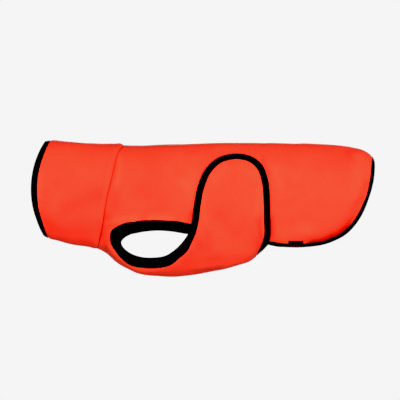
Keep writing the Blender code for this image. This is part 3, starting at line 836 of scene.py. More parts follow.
# %% Waver, swell and relief
WAVER = 5.0  # how far the slow waver bends a dent, in millimetres
SWELL, HANG = 0.5, 0.5  # height of the swell, and how far the underside hangs
SEEN = (0.05, 0.55)  # a dent begins where the cloth turns this much to its side, and is full from that


def slow_waves(points, count, shortest, longest, seed):
    """A slow, uneven field between about -1 and 1, from plane waves with seeded directions."""
    draw = np.random.default_rng(seed)
    total = np.zeros(len(points))
    for _ in range(count):
        way = draw.normal(size=3)
        way /= np.linalg.norm(way)
        total += np.cos(points @ way * 2 * pi / draw.uniform(shortest, longest) + draw.uniform(0, 2 * pi))
    return total / np.sqrt(count)


def to_segment(spots, start, end):
    """How far each spot is from a straight line between two points."""
    way = end - start
    share = np.clip((spots - start) @ way / (way @ way), 0, 1)
    return np.linalg.norm(spots - start - share[:, None] * way, axis=1)


def relief(cloth, places):
    """How far the worn cloth is above its smooth shape, and the painted light and shade of its colour."""
    points, normals = skin(*places.T), directions(places)[2]
    facing = {"left": -normals[:, 1], "right": normals[:, 1], "back": normals[:, 2], "belly": -normals[:, 2]}
    wavers = [slow_waves(points, count=6, shortest=50, longest=110, seed=seed) for seed in (1, 2, 3)]
    bent = points + WAVER * np.stack(wavers, axis=1)
    swell = slow_waves(points, count=16, shortest=60, longest=150, seed=4)
    height = SWELL * swell + HANG * ease(-normals[:, 2])
    nap = np.zeros(len(places))
    # Each dent adds its painted light to the colour, and painted shade where its number is below 0.
    for dent in DENTS:
        if dent.cloth == cloth:
            flank = dent.face in ("left", "right")
            spots = bent[:, (0, 2)] if flank else bent[:, (0, 1)]
            away = to_segment(spots, np.array([dent.u1, dent.v1]), np.array([dent.u2, dent.v2]))
            share = fade(away, dent.width) * between(facing[dent.face], *SEEN)
            height += dent.height * share
            nap += dent.nap * share
    return height, nap


spine = relief("coat", np.array([[0.0, 0.0], [150.0, 0.0]]))[0]
print("relief of the coat's spine at the chest and the loins, mm:", spine.round(1).tolist())

# %% [markdown]
# ## Along a tape and along a seam
#
# Seen in section from a finished edge inwards, the cloth is gripped thin and drawn in by the elastic,
# leaves the tape a little sunk, swells into a soft roll, and settles. Beside a seam it dips, because the
# stitches hold it down there, and its cut edge is turned in. The elastic also gathers the cloth slightly,
# so the roll is fuller in some places than in others. The gathers repeat a whole number of times round the
# long edge, so that they meet where it closes.

# %% Sections across the edges
EDGE_CURL = 1.2  # how far the elastic pulls in the neck edge, the hem and the belly edge
FOLD_OUT, FOLD_IN = GRIPPED / 2 + GAP + TAPE, GRIPPED / 2 + GAP  # radii of the tape's fold
RIM = TAPE + GAP  # from a finished edge to the cloth's own edge inside the fold
SUNK, ROLL = 0.4, 0.55  # the cloth's height at the tape, and of the roll beyond it
PRESS = 0.85  # how much lower the wing's edge lies, where it rests on the coat
ROLL_TOP, ROLL_END = 6, 24  # where the roll is highest and where it ends, from the tape's inner edge
GATHER = 0.22  # how much higher and lower the gathers make the roll
GATHER_WAVES, GATHER_SHORTEST, GATHER_LONGEST = 24, 11, 40  # what they are mixed from, in millimetres
SEAM_DIP, TURN_IN, TURNED = 1.4, 2.8, 1.4  # a seam's depth, the width of its turned edge and how far it turns
SEAM_TOP, SEAM_END = 8, 22  # where the cloth beside a seam is out of the dip, and where it has settled
SEAM_ROLL = 0.25  # height of the low roll between them

Edge = namedtuple("Edge", "line width curl press gather side")


def gathers(line, seed):
    """Uneven gathers round a closed line, which meet where it closes."""
    points = skin(*line.T)
    steps = np.linalg.norm(np.roll(points, -1, axis=0) - points, axis=1)
    turn = 2 * pi * (np.cumsum(steps) - steps) / steps.sum()
    draw = np.random.default_rng(seed)
    total = np.zeros(len(line))
    for _ in range(GATHER_WAVES):
        wavelength = draw.uniform(GATHER_SHORTEST, GATHER_LONGEST)
        total += np.cos(round(steps.sum() / wavelength) * turn + draw.uniform(0, 2 * pi))
    return total / np.sqrt(GATHER_WAVES)


def edge_shape(edge, s, at):
    """The change of height at distance s inside this edge, beside its stops at."""
    width, curl, press, gather = edge.width[at], edge.curl[at], edge.press[at], edge.gather[at]
    inside_tape = 1 - np.clip((s - RIM) / (width - RIM), 0, 1)
    beyond = s - width
    roll = between(beyond, 0, ROLL_TOP) * (1 - between(beyond, ROLL_TOP, ROLL_END))
    sunk = 1 - between(beyond, -1, ROLL_TOP - 1)
    lying = 1 - between(beyond, -2, ROLL_END)
    return (ROLL + GATHER * gather) * roll - SUNK * sunk - curl * inside_tape**1.2 - press * lying


def seam_shape(d):
    """The dip of a cloth at distance d from its seam, and how much of its outer face is turned in."""
    out = between(d, 0, SEAM_TOP)
    dip = -SEAM_DIP * (1 - out) + SEAM_ROLL * out * (1 - between(d, SEAM_TOP, SEAM_END))
    return dip, TURNED * np.clip(1 - d / TURN_IN, 0, 1) ** 2


print("at its seam a cloth dips", -float(seam_shape(0.0)[0]), "mm")

# %% [markdown]
# ## How wide each tape shows
#
# A tape folded over a straight edge shows one width. Drawn round a tight curve, the elastic splays out or
# bunches up, so it shows wider or narrower there, and round the legs it is a wider tape altogether. The
# width is one number at each stop of the long edge, and the cloth and the tape both read it, so they agree.

# %% Tape widths
NECK_NARROWER = 1.6  # how much less of the neck tape shows, over the spine and under the throat
THROAT_NARROWER = 1.2  # and how much less again under the throat
THROAT_BEGINS = (0.15, 0.5)  # cosines of the angle from the belly's middle
WING_WIDER = 0.6  # how much more of the wing tape shows
LEG_TAPE_FROM = 2.0  # the leg tape starts at this x, under the wing, where the hem tape ends
COAT_NARROWS = (-5, 5)  # along x, the wide tape gives way to the narrow one about there on the coat
BELLY_NARROWS = (-50, -12)  # and here on the belly panel
WING_BEGINS = (-24, -12)  # along x
PRESS_BEGINS = (-132, -118)  # up the wing's edges
HEM_CURLS = (90, 150)  # along x, the hem starts to curl in
BELLY_CURLS, CURL_FADES = 48, 22  # degrees up from the belly's middle that its edge curls, and fades over

# A tape shows wider by this about a point seen from the side, or narrower where it is below 0.
Spread = namedtuple("Spread", "x z reach wider")
SPREADS = [
    Spread(-115.0, -145.0, 10.0, 3.4),
    Spread(-124.3, -151.2, 6.5, 4.4),
    Spread(-95.0, -138.0, 18.0, 1.7),
    Spread(-124.5, -163.0, 8.0, -5.8),
    Spread(-116.0, -170.5, 7.0, -3.0),
    Spread(-74.0, -181.0, 21.0, 2.8),
    Spread(-45.0, -171.0, 11.0, -2.3),
    Spread(-30.0, -157.0, 9.0, 1.2),
    Spread(-36.0, -132.0, 14.0, 1.5),
    Spread(120.0, -161.0, 16.0, 3.2),
    Spread(180.0, -163.0, 11.0, 2.4),
    Spread(211.0, -155.0, 11.0, 1.4),
    Spread(236.0, -141.0, 15.0, 2.8),
    Spread(268.0, -82.0, 18.0, -2.0),
    Spread(268.0, -85.0, 50.0, -1.0),
    Spread(278.0, -24.0, 8.5, -3.4),
]

long_x = long_line[:, 0]
long_points = skin(*long_line.T)
narrow = np.where(on_belly, between(long_x, *BELLY_NARROWS), between(long_x - LEG_TAPE_FROM, *COAT_NARROWS))
on_wing = on_belly * between(long_x, *WING_BEGINS)
long_width = TAPE_WIDTH + (LEG_TAPE_WIDTH - TAPE_WIDTH) * (1 - narrow) + WING_WIDER * on_wing
for spread in SPREADS:
    from_middle = np.linalg.norm(long_points[:, (0, 2)] - (spread.x, spread.z), axis=1)
    long_width += spread.wider * fade(from_middle, spread.reach)
tip_x, tip_a = inset(long_line, long_width, -1).T
under = ease((radians(BELLY_CURLS) - np.abs(tip_a - pi)) / radians(CURL_FADES))
curl = np.where(on_belly, under, between(tip_x, *HEM_CURLS))
press = PRESS * on_wing * between(long_points[:, 2], *PRESS_BEGINS)
long_edge = Edge(long_line, long_width, EDGE_CURL * curl, press, gathers(long_line, 11), -1)
neck_width = TAPE_WIDTH - NECK_NARROWER * np.cos(neck_a) ** 4
neck_width -= THROAT_NARROWER * between(-np.cos(neck_a), *THROAT_BEGINS)
neck_edge = Edge(
    neck_line, neck_width, np.full(NECK_SLICES, EDGE_CURL), np.zeros(NECK_SLICES), gathers(neck_line, 12), 1
)
print("tape widths, mm:", round(long_width.min(), 1), "to", round(long_width.max(), 1))

# %% [markdown]
# ## Meshes
#
# A cloth is closed: an outer face, an inner face and thin walls at its edges. Its outline in the two numbers
# x and a is filled with an even net of triangles, which follows any curve and dents well, where a grid would
# end in steps. The same net, lifted twice, gives both faces.

# %% Mesh helpers
NET_STEP = 3.1  # side of the triangles, in millimetres
ROW_RISE = 0.866 * NET_STEP  # from one row of even triangles to the next


def build(name, points, faces, materials, faces_of=None, nap=None):
    """A closed mesh of points in millimetres as a named object, with its faces turned out. faces_of gives
    each face's material by number, and the last argument the painted light and shade at each point."""
    mesh = bpy.data.meshes.new(name)
    mesh.from_pydata([tuple(p) for p in points * MM], [], faces)
    for made in materials:
        mesh.materials.append(made)
    if faces_of is not None:
        mesh.polygons.foreach_set("material_index", faces_of)
    work = bmesh.new()
    work.from_mesh(mesh)
    bmesh.ops.recalc_face_normals(work, faces=work.faces)
    work.to_mesh(mesh)
    work.free()
    if nap is not None:
        mesh.attributes.new(SHADE_AND_NAP_LIE, "FLOAT", "POINT").data.foreach_set("value", nap.astype(np.float32))
    mesh.shade_smooth()
    mesh.set_sharp_from_angle(angle=radians(60))
    made = bpy.data.objects.new(name, mesh)
    scene.collection.objects.link(made)
    return made


def strip(first, second, closed=False):
    """Four-sided faces between two rows of point numbers."""
    pairs = list(zip(first, second))
    return [(a, b, d, c) for (a, b), (c, d) in zip(pairs, pairs[1:] + (pairs[:1] if closed else []))]


print("triangles", NET_STEP, "mm")

# %% [markdown]
# ## Near and inside
#
# What a cloth does at a place depends on how far that is from its edges and seams, and its net has to stay
# inside its outline. Blender finds the nearest of many points fast with a tree. The line between two points
# can be nearer still, so both lines at the nearest point are measured.

# %% Near and inside
def beside(line, spots, closed):
    """For each spot, how far it is from a line of points, and the number of the nearest point."""
    tree = KDTree(len(line))
    for i, point in enumerate(line):
        tree.insert(point, i)
    tree.balance()
    near = np.array([tree.find(spot)[1] for spot in spots])
    away = np.full(len(spots), np.inf)
    for shift in (-1, 0):
        if closed:
            start, end = line[(near + shift) % len(line)], line[(near + shift + 1) % len(line)]
        else:
            i = np.clip(near + shift, 0, len(line) - 2)
            start, end = line[i], line[i + 1]
        way = end - start
        share = np.clip(((spots - start) * way).sum(axis=1) / (way * way).sum(axis=1), 0, 1)
        away = np.minimum(away, np.linalg.norm(spots - start - share[:, None] * way, axis=1))
    return away, near


def inside(polygon, spots):
    """Which spots lie inside the polygon."""
    crossings = np.zeros(len(spots), int)
    for start, end in zip(polygon, np.roll(polygon, -1, axis=0)):
        way = end - start
        level = (start[1] > spots[:, 1]) != (end[1] > spots[:, 1])
        hit = spots[level]
        crossings[level] += hit[:, 0] - start[0] < way[0] * (hit[:, 1] - start[1]) / way[1]
    return crossings % 2 == 1


square = np.array([[0, 0], [2, 0], [2, 2], [0, 2]], float)
print("inside a square:", inside(square, np.array([[1.0, 1.0], [3.0, 1.0]])).tolist())

# %% [markdown]
# ## One cloth at one place
#
# All three cloths are alike in section, so one function gives any of them its height, its thickness, the
# turn of its outer face and the painted light and shade of its colour, from how far a place is from the
# bound edge and from the seams. The neck seam is a groove round the flanks and lies nearly flat under the
# throat. Over the spine the collar's turned edge stands up, and the coat runs on flat beneath it.

# %% Cloth in section
NAP = 0.5  # the outer face's nap stands up this much where no tape presses it
ROLL_HIGHLIGHT = 0.5  # how much painted light the roll beside a tape gets
SEAM_SHADES = ((0.2, 3.0), (1.7, 0.8))  # how much painted shade the neck seam gets, and how far from it
SEAM_SHADE, SPINE_SHADE = 0.7, 0.2  # how strong that painted shade is on the sides and belly, and how much stronger over the back
SHOULDER_SHADE, SHOULDER_AT, SHOULDER_REACH = 0.25, 0.53, 0.24  # how much weaker it is on the shoulders, where, and its reach
FLAT_SEAM = 0.2  # the front seams are trimmed and flat, with this share of the neck seam's depth
FLAT_AT_THROAT, THROAT = 0.8, (0.35, 0.85)  # the depth that the neck seam loses there, by the cosine
FLAT_AT_SPINE, SPINE = 0.88, (0.5, 0.9)  # and that its coat's side loses over the spine
COLLAR_ROLL, SIDE_ROLL = 0.9, 0.3  # how far the collar's rear edge stands up, and its share on the sides
ROLL_FROM_SEAM, ROLL_REACH = 6.0, 3.5  # the middle of that roll, and its reach
HELD_DENTS, HELD_TO = 0.4, 14  # a seam holds the cloth: what is left of a dent at it, and up to where
CLEAR = (0, 3)  # from the tape's inner edge, the cloth comes free of it


def shape_of(cloth, edge, places, s, at, d_neck, d_front):
    """A cloth's middle height over the skin, half its thickness, how far its outer face turns in, and the
    painted light and shade of its colour. s is the distance from its bound edge, at the stops beside it, and
    the other two are its distances from the neck seam and from the front seams."""
    width = edge.width[at]
    grip = np.clip((s - RIM) / (width - RIM), 0, 1)
    half = (GRIPPED + (FLEECE - GRIPPED) * grip) / 2
    up = np.cos(places[:, 1])  # 1 at the spine, -1 at the belly
    depth = 1 - FLAT_AT_THROAT * between(-up, *THROAT)
    if cloth == "coat":  # over the spine it runs on flat under the collar's edge
        depth *= 1 - FLAT_AT_SPINE * between(up, *SPINE)
    neck_dip, neck_turned = (depth * part for part in seam_shape(d_neck))
    front_dip, front_turned = seam_shape(d_front)
    free = between(s - width, *CLEAR)
    middle = lift_of(cloth, places) + FLEECE / 2 + edge_shape(edge, s, at)
    middle += np.minimum(neck_dip, FLAT_SEAM * front_dip) * free
    turned = np.maximum(neck_turned, FLAT_SEAM * front_turned) * free
    if cloth == "collar":
        over_spine = SIDE_ROLL + (1 - SIDE_ROLL) * between(up, *UPPER_SIDE)
        middle += COLLAR_ROLL * over_spine * fade(d_neck - ROLL_FROM_SEAM, ROLL_REACH)
    worn, nap = relief(cloth, places)
    # Painted light on the roll beside the tape, and painted shade along the neck seam.
    nap = np.clip(nap + ROLL_HIGHLIGHT * fade(s - width, CLEAR[1]), -2, 1)
    seam_shading = SEAM_SHADE + SPINE_SHADE * ease(up) - SHOULDER_SHADE * fade(up - SHOULDER_AT, SHOULDER_REACH)
    nap -= seam_shading * sum(shaded * fade(d_neck, reach) for shaded, reach in SEAM_SHADES)
    turned -= NAP * free
    held = HELD_DENTS + (1 - HELD_DENTS) * between(d_neck, 0, HELD_TO)
    return middle + worn * held, half, turned, nap


print("cloth", GRIPPED, "mm thick in a tape and", FLEECE, "mm outside it")

# %% [markdown]
# ## Outline and net
#
# A panel's outline is its stretch of the long edge and its sewn edges, drawn flat. Even rows of points fill
# it, clear of the outline, and a few extra rows run close beside the seams, so that their turned edges come
# out round.

# %% Outline and net
SEAM_ROWS = (0.5, 1.2, 2.2)  # extra rows of points, in millimetres from the seam


def line_between(start, end):
    """Points from start to end, without start, in steps of about one triangle."""
    steps = max(1, round(float(np.linalg.norm((end - start) * (1, UNROLL))) / NET_STEP))
    return start + (end - start) * np.arange(1, steps + 1)[:, None] / steps


def sewn_line(rim_end, band_end, band_start, rim_start):
    """From one end of a panel's bound edge down its front seam, along the neck seam, and up to the other."""
    count = ceil((band_end[1] - band_start[1]) * UNROLL / NET_STEP)
    angles = np.linspace(band_end[1], band_start[1], count + 1)
    neck = np.stack([seam_x(angles) + GAP / 2, angles], axis=1)
    down = np.concatenate([line_between(rim_end, band_end), line_between(band_end, neck[0])])
    up = np.concatenate([line_between(neck[-1], band_start), line_between(band_start, rim_start)[:-1]])
    return np.concatenate([down, neck[1:], up]), neck


def flat(line):
    """A flat line of points, as points in space."""
    return np.column_stack([line, np.zeros(len(line))])


def net_points(outline, near_seam):
    """The points inside a flat outline: even rows, and the given ones near the seams."""
    low, high = outline.min(axis=0), outline.max(axis=0)
    middle = (low[1] + high[1]) / 2
    half_rows = ceil((high[1] - low[1]) / 2 / ROW_RISE)
    knots = np.array([
        (x, middle + row * ROW_RISE)
        for row in range(-half_rows, half_rows + 1)
        for x in np.arange(low[0] + NET_STEP / 2 * (row % 2), high[0], NET_STEP)
    ])
    knots = knots[inside(outline, knots)]
    closest = 0.5 * NET_STEP
    for line in (outline, near_seam):
        knots = knots[beside(flat(line), flat(knots), True)[0] > closest]
    return np.concatenate([knots, near_seam[inside(outline, near_seam)]])


print("rows of the net", round(ROW_RISE, 2), "mm apart")

# %% [markdown]
# ## The coat and the belly panel
#
# The coat covers the back and both flanks, from the neck seam to the hem. The belly panel starts between
# the forelegs, goes back under the chest, and its wings come up over the coat. Both are bound on one side
# and sewn on the other, along the neck seam and the two short front seams before the leg openings. The
# coat's colour gets a painted shadow where a wing's edge rests on it, and painted shade along the hem where
# it climbs to the tail.

# %% Coat and belly panel
WING_EDGE_SHADOW, WING_SHADOW_REACH = 0.7, 4.5  # painted shadow of a wing's edge on the coat, and how far from it
WING_X, WING_Z = (-30, -20), (-25, -45)  # along its upright edges: behind this x, and below this height
HEM_SHADE, HEM_SHADE_REACH = 2.3, 14.0  # and painted shade along the hem, beyond its tape
HEM_CLIMBS, HEM_ENDS = (152, 182), (264, 230)  # where that painted shade comes in along x, and goes out
MORE_STOPS = 12  # a cloth's corners feel this many stops of the edge beyond its own, round the leg opening


def cut_cloth(name, cloth, stops):
    """Cuts the coat or the belly panel. stops are the stops of the long edge that it has."""
    rows = []
    for distance in (RIM, long_width):
        row = inset(long_line, distance, -1)[stops]
        row[stops < 0, 1] -= 2 * pi
        row[0, 1] += BUTT / 2 / UNROLL
        row[-1, 1] -= BUTT / 2 / UNROLL
        rows.append(row)
    rim, band = rows
    sewn, neck = sewn_line(rim[-1], band[-1], band[0], rim[0])
    outline = np.concatenate([rim, sewn]) * (1, UNROLL)

    # Rows beside the neck seam and beside each front seam, clear of the corners.
    near_seam = []
    front_seams = ((band[-1], neck[0], -1), (band[0], neck[-1], 1))  # from, to, and the cloth's side of it
    for d in SEAM_ROWS:
        near_seam.append(neck[1:-1] + (d, 0.0))
        for start, end, side in front_seams:
            near_seam.append(line_between(start, end)[:-2] + (0.0, side * d / UNROLL))
    knots = net_points(outline, np.concatenate(near_seam) * (1, UNROLL))

    count = len(outline)
    given = [Vector(p) for p in np.concatenate([outline, knots])]
    found, _, faces, origin, _, _ = delaunay_2d_cdt(given, [], [list(range(count))], 1, 1e-6)
    if len(found) != len(given):
        raise ValueError(f"{name}: its outline crosses itself")
    faces = [tuple(origin[i][0] for i in face) for face in faces]
    places = np.concatenate([outline, knots]) / (1, UNROLL)

    points = skin(*places.T)
    reach = np.arange(stops[0] - MORE_STOPS, stops[-1] + MORE_STOPS + 1) % STOPS
    s, at = beside(skin(*long_line[reach].T), points, False)
    d_neck = beside(skin(*neck.T), points, False)[0]
    fronts = [np.vstack([start, line_between(start, end)]) for start, end, _ in front_seams]
    d_front = np.min([beside(skin(*front.T), points, False)[0] for front in fronts], axis=0)
    middle, half, turned, nap = shape_of(cloth, long_edge, places, s, reach[at], d_neck, d_front)
    if cloth == "coat":
        # A painted shadow beside the wing's edge, and painted shade along the hem where it climbs.
        from_wing = beside(skin(*long_line[on_belly].T), points, False)[0]
        x, z = places[:, 0], points[:, 2]
        nap -= WING_EDGE_SHADOW * fade(from_wing, WING_SHADOW_REACH) * (between(x, *WING_X) * between(z, *WING_Z))
        from_tape = s - long_width[reach[at]]
        nap -= HEM_SHADE * fade(from_tape, HEM_SHADE_REACH) * (between(x, *HEM_CLIMBS) * between(x, *HEM_ENDS))
    total = len(places)
    rim_numbers = list(range(count))
    both = np.concatenate([wrap(places, middle + half - turned), wrap(places, middle - half)])
    faces += [tuple(i + total for i in face) for face in faces]
    faces += strip(rim_numbers, [i + total for i in rim_numbers], closed=True)
    made = build(name, both, faces, [fleece], nap=np.tile(nap, 2))
    print(name, len(faces), "faces")
    return made


coat = cut_cloth("coat_cloth", "coat", np.arange(-TIP_STOP, TIP_STOP + 1))
belly = cut_cloth("belly_cloth", "belly", np.arange(TIP_STOP, STOPS - TIP_STOP + 1))

# %% [markdown]
# ## The collar
#
# The collar is one tube round the neck. A tube has no outline to fill, only two ends, so rings of points do
# as well as a net: close together inside the tape and at the turned edge, and a few millimetres apart
# between them. Its seam edge turns down to meet the coat, and stands up most over the spine.

# %% Collar
TAPE_SHARES = (0, 0.25, 0.45, 0.65, 0.85, 1)  # rings under the tape, as shares of its width
LAST_RING = 3.6  # the last ring before the seam's own rows, in millimetres from the seam
TURNED_DOWN, TURNED_WITHIN = 0.85, 5  # the share of the collar's lift its edge turns down, within this of it
FAR = 100.0  # millimetres, so far from a seam that it changes nothing


def tube_rings():
    """The collar's rings, from its edge inside the tape to the seam."""
    rings = [inset(neck_line, RIM + (neck_width - RIM) * share, 1) for share in TAPE_SHARES]
    seam = np.stack([seam_x(neck_a) - GAP / 2, neck_a], axis=1)
    last = seam - (LAST_RING, 0.0)
    steps = round(float((last - rings[-1])[:, 0].mean()) / NET_STEP)
    rings += [rings[-1] + (last - rings[-1]) * i / steps for i in range(1, steps + 1)]
    return rings + [seam - (d, 0.0) for d in (*SEAM_ROWS[::-1], 0.0)], seam


rings, seam = tube_rings()
places = np.concatenate(rings)
points = skin(*places.T)
s, at = beside(skin(*neck_line.T), points, True)
d = beside(skin(*seam.T), points, True)[0]
middle, half, turned, nap = shape_of("collar", neck_edge, places, s, at, d, np.full(len(d), FAR))
allowance = TURNED_DOWN * lift_of("collar", places) * ease(1 - d / TURNED_WITHIN)
points = np.concatenate([wrap(places, middle + half - turned), wrap(places, middle - half - allowance)])
numbers = [list(range(i * NECK_SLICES, (i + 1) * NECK_SLICES)) for i in range(2 * len(rings))]
outer_rings, inner_rings = numbers[: len(rings)], numbers[len(rings) :]
faces = []
for layer in (outer_rings, inner_rings):
    for first, second in zip(layer, layer[1:]):
        faces += strip(first, second, closed=True)
for end in (0, -1):
    faces += strip(outer_rings[end], inner_rings[end], closed=True)
collar = build("collar_cloth", points, faces, [fleece], nap=np.tile(nap, 2))
print(len(rings), "rings of", NECK_SLICES)

# %% [markdown]
# ## The tapes
#
# A tape is folded over the edge and sewn down through all layers with one row of stitches, about 2 mm from
# its inner edges. In section it is a U: an outer leg, a round fold and an inner leg, each 0.8 mm thick. The
# section is a short list of points, each a distance from the finished edge and a height off the cloth's
# middle, and it is swept along the stops of the edge. The stitches pull a shallow groove, and the tape's
# cut edges are softened.

# %% Tape section
STITCH_ROW = 1.8  # from the tape's inner edge
BackStep = namedtuple("BackStep", "back sunk")  # from the tape's inner edge, and below its even face
BACK_STEPS = [
    BackStep(0.0, 0.42),
    BackStep(0.12, 0.12),
    BackStep(0.5, 0.0),
    BackStep(1.2, 0.08),
    BackStep(STITCH_ROW, 0.2),
    BackStep(2.4, 0.08),
    BackStep(3.2, 0.0),
]
LEG_SHARES = (0.3, 0.6, 0.85, 1.0)  # points of the outer leg, from the last step to the fold
INNER_SHARES = (0.0, 0.35, 0.7, 1.0)  # points of the leg's inner face, from its edge to the fold
FOLD_TURNS = np.radians([70, 45, 22, 0, -22, -45, -70])


def half_cloth(width, s):
    """Half the cloth's thickness at s inside a tape of this width."""
    return (GRIPPED + (FLEECE - GRIPPED) * np.clip((s - RIM) / (width - RIM), 0, 1)) / 2


def tape_section(width):
    """The closed U as rows of (s, height), for tapes of these widths."""
    leg = []
    for step in BACK_STEPS:
        s = width - step.back
        leg.append((s, half_cloth(width, s) + GAP + TAPE - step.sunk))
    start = width - BACK_STEPS[-1].back
    for part in LEG_SHARES:
        s = start + (FOLD_OUT - start) * part
        leg.append((s, half_cloth(width, s) + GAP + TAPE))
    fold = [(width * 0 + FOLD_OUT * (1 - np.cos(t)), width * 0 + FOLD_OUT * np.sin(t)) for t in FOLD_TURNS]
    inner = []
    for part in INNER_SHARES:
        s = width + (FOLD_OUT - width) * part
        inner.append((s, half_cloth(width, s) + GAP))
    inner_fold = [(width * 0 + FOLD_OUT - FOLD_IN * np.cos(t), width * 0 + FOLD_IN * np.sin(t))
                  for t in FOLD_TURNS[1:-1:2]]
    under = [(s, -h) for s, h in leg]
    return leg + fold + under[::-1] + [(s, -h) for s, h in inner] + inner_fold[::-1] + inner[::-1]


print(len(tape_section(np.array([TAPE_WIDTH]))), "points in the section")

# %% [markdown]
# ## A tape follows its cloth
#
# Each tape takes its heights from the cloth that it holds, so it follows every dent of it. A row of a tape
# is one point of its section carried along its stops, and where two tapes meet end to end a hair of air is
# left between them.

# %% Rows of a tape
def tape_points(edge, stops, closed, s, height):
    """A row of a tape, at distance s from the finished edge and this height off the cloth's middle."""
    at = stops % len(edge.line)
    row = inset(edge.line, s, edge.side)[at]
    if not closed:  # its ends stop short of the next tape
        for end, next_to in ((0, 1), (-1, -2)):
            way = row[next_to] - row[end]
            row[end] = row[end] + way * BUTT / 2 / np.linalg.norm(skin(*row[next_to]) - skin(*row[end]))
    far = np.full(len(row), FAR)
    if edge is neck_edge:
        middle = shape_of("collar", edge, row, s[at], at, far, far)[0]
    else:
        coat_middle = shape_of("coat", edge, row, s[at], at, far, far)[0]
        belly_middle = shape_of("belly", edge, row, s[at], at, far, far)[0]
        middle = np.where(on_belly[at], belly_middle, coat_middle)
    return wrap(row, middle + height[at])


print("two tapes meet", BUTT, "mm apart")

# %% [markdown]
# ## Stitches
#
# A lockstitch shows on each face as a row of short bars of thread, which dive into the tape at both ends.
# Bump could only paint them. Each is a small grain of thread here, six-sided and pointed at both ends, in
# one row on each leg of the tape. Black on black they hardly show, but they break up the tape's light.

# %% Stitches
STITCH, STITCH_PITCH, THREAD = 2.6, 3.2, 0.5  # length, spacing and thickness, in millimetres
STITCH_SUNK = 0.12  # how far the thread's middle lies below the tape's face
SHOULDER, DIVES = 0.3, 0.4  # where a stitch starts to taper, and how deep its ends dive, as shares of it


def add_grain(points, faces, middle, along, up):
    """Adds one stitch: a grain of thread, six-sided and pointed at both ends."""
    first = len(points)
    across = np.cross(up, along)
    points.append(middle - along * STITCH / 2 - up * THREAD * DIVES)
    for share in (-SHOULDER, SHOULDER):
        for turn in np.arange(6) * pi / 3:
            out = across * np.cos(turn) + up * np.sin(turn)
            points.append(middle + along * STITCH * share + out * THREAD / 2)
    points.append(middle + along * STITCH / 2 - up * THREAD * DIVES)
    for k in range(6):
        n = (k + 1) % 6
        faces.append((first, first + 1 + n, first + 1 + k))
        faces.append((first + 1 + k, first + 1 + n, first + 7 + n, first + 7 + k))
        faces.append((first + 13, first + 7 + k, first + 7 + n))


def stitch_row(points, faces, line, up, closed):
    """Adds stitches along a line, with up the way out of the cloth at each of its points."""
    if closed:
        line, up = np.concatenate([line, line[:1]]), np.concatenate([up, up[:1]])
    run = np.concatenate([[0], np.cumsum(np.linalg.norm(np.diff(line, axis=0), axis=1))])
    count = int(run[-1] / STITCH_PITCH)
    for centre in (np.arange(count) + 0.5) * run[-1] / count:
        a, m, b = (
            np.array([np.interp(centre + off, run, column) for column in line.T])
            for off in (-STITCH / 2, 0.0, STITCH / 2)
        )
        out = np.array([np.interp(centre, run, column) for column in up.T])
        along = (b - a) / np.linalg.norm(b - a)
        out -= along * (out @ along)
        add_grain(points, faces, m, along, out / np.linalg.norm(out))


print("a stitch every", STITCH_PITCH, "mm")

# %% [markdown]
# ## The tape's own map
#
# The ribs run along the tape, so the knit has to know where it is along the tape and round its section. A
# map holds that for each corner of each face. Unwrapping would guess it, but here both lengths are known.

# %% Tape map
def lay_map(made, places, whole):
    """Gives a tape its own map, from a place for each point: u along the finished edge and v round the
    section, in metres. whole is the length of a closed tape, and 0 for one with ends."""
    run = made.data.uv_layers.new(name=TAPE_RUN)
    corner_of = np.empty(len(made.data.loops), np.int32)
    made.data.loops.foreach_get("vertex_index", corner_of)
    at_corner = places[corner_of]
    starts = np.empty(len(made.data.polygons), np.int32)
    made.data.polygons.foreach_get("loop_start", starts)
    if whole:  # the last faces run on to the whole length, not back to nought
        highest = np.maximum.reduceat(at_corner[:, 0], starts)
        sizes = np.diff(np.append(starts, len(corner_of)))
        wraps = (np.repeat(highest, sizes) - at_corner[:, 0]) > whole / 2
        at_corner[wraps, 0] += whole
    run.data.foreach_set("uv", at_corner.ravel())


print("the map is named", TAPE_RUN)

# %% [markdown]
# ## Sewing the tapes on
#
# The long edge has four tapes, end to end: the hem's, one round each leg opening, and the belly panel's,
# up and down both wings. The neck has its own. Each starts at the stop where the one before it ends.

# %% Tapes
def sew_tape(name, edge, stops, closed=False):
    """A tape along these stops of an edge, with its stitches."""
    section = tape_section(edge.width)
    rows = [tape_points(edge, stops, closed, s, height) for s, height in section]
    count = len(stops)
    numbers = [list(range(i * count, (i + 1) * count)) for i in range(len(rows))]
    faces = []
    for row, next_row in zip(numbers, numbers[1:] + numbers[:1]):
        faces += strip(row, next_row, closed)
    if not closed:
        faces += [tuple(row[0] for row in numbers), tuple(row[-1] for row in numbers)]
    finished = rows[len(BACK_STEPS) + len(LEG_SHARES) + len(FOLD_TURNS) // 2]
    steps = np.linalg.norm(np.diff(finished, axis=0), axis=1)
    along = np.concatenate([[0], np.cumsum(steps)])
    whole = along[-1] + np.linalg.norm(finished[0] - finished[-1])
    spine = np.array([(s[0], h[0]) for s, h in section])
    round_it = np.concatenate([[0], np.cumsum(np.linalg.norm(np.diff(spine, axis=0), axis=1))])
    run_places = np.stack([np.tile(along, len(rows)), np.repeat(round_it, count)], axis=1) * MM
    tape_faces = len(faces)

    points = list(np.concatenate(rows))
    groove = edge.width - STITCH_ROW
    height = half_cloth(edge.width, groove) + GAP + TAPE - STITCH_SUNK
    for side in (1, -1):
        line = tape_points(edge, stops, closed, groove, side * height)
        out = side * directions(inset(edge.line, groove, edge.side)[stops % len(edge.line)])[2]
        stitch_row(points, faces, line, out, closed)
    kinds = np.zeros(len(faces), np.int32)
    kinds[tape_faces:] = 1
    made = build(name, np.array(points), faces, [tape, thread], kinds)

    places = np.zeros((len(points), 2))  # the stitches have no place on the tape's map
    places[: len(run_places)] = run_places
    lay_map(made, places, whole * MM if closed else 0)
    print(name, round(along[-1]), "mm long,", len(faces), "faces")
    return made


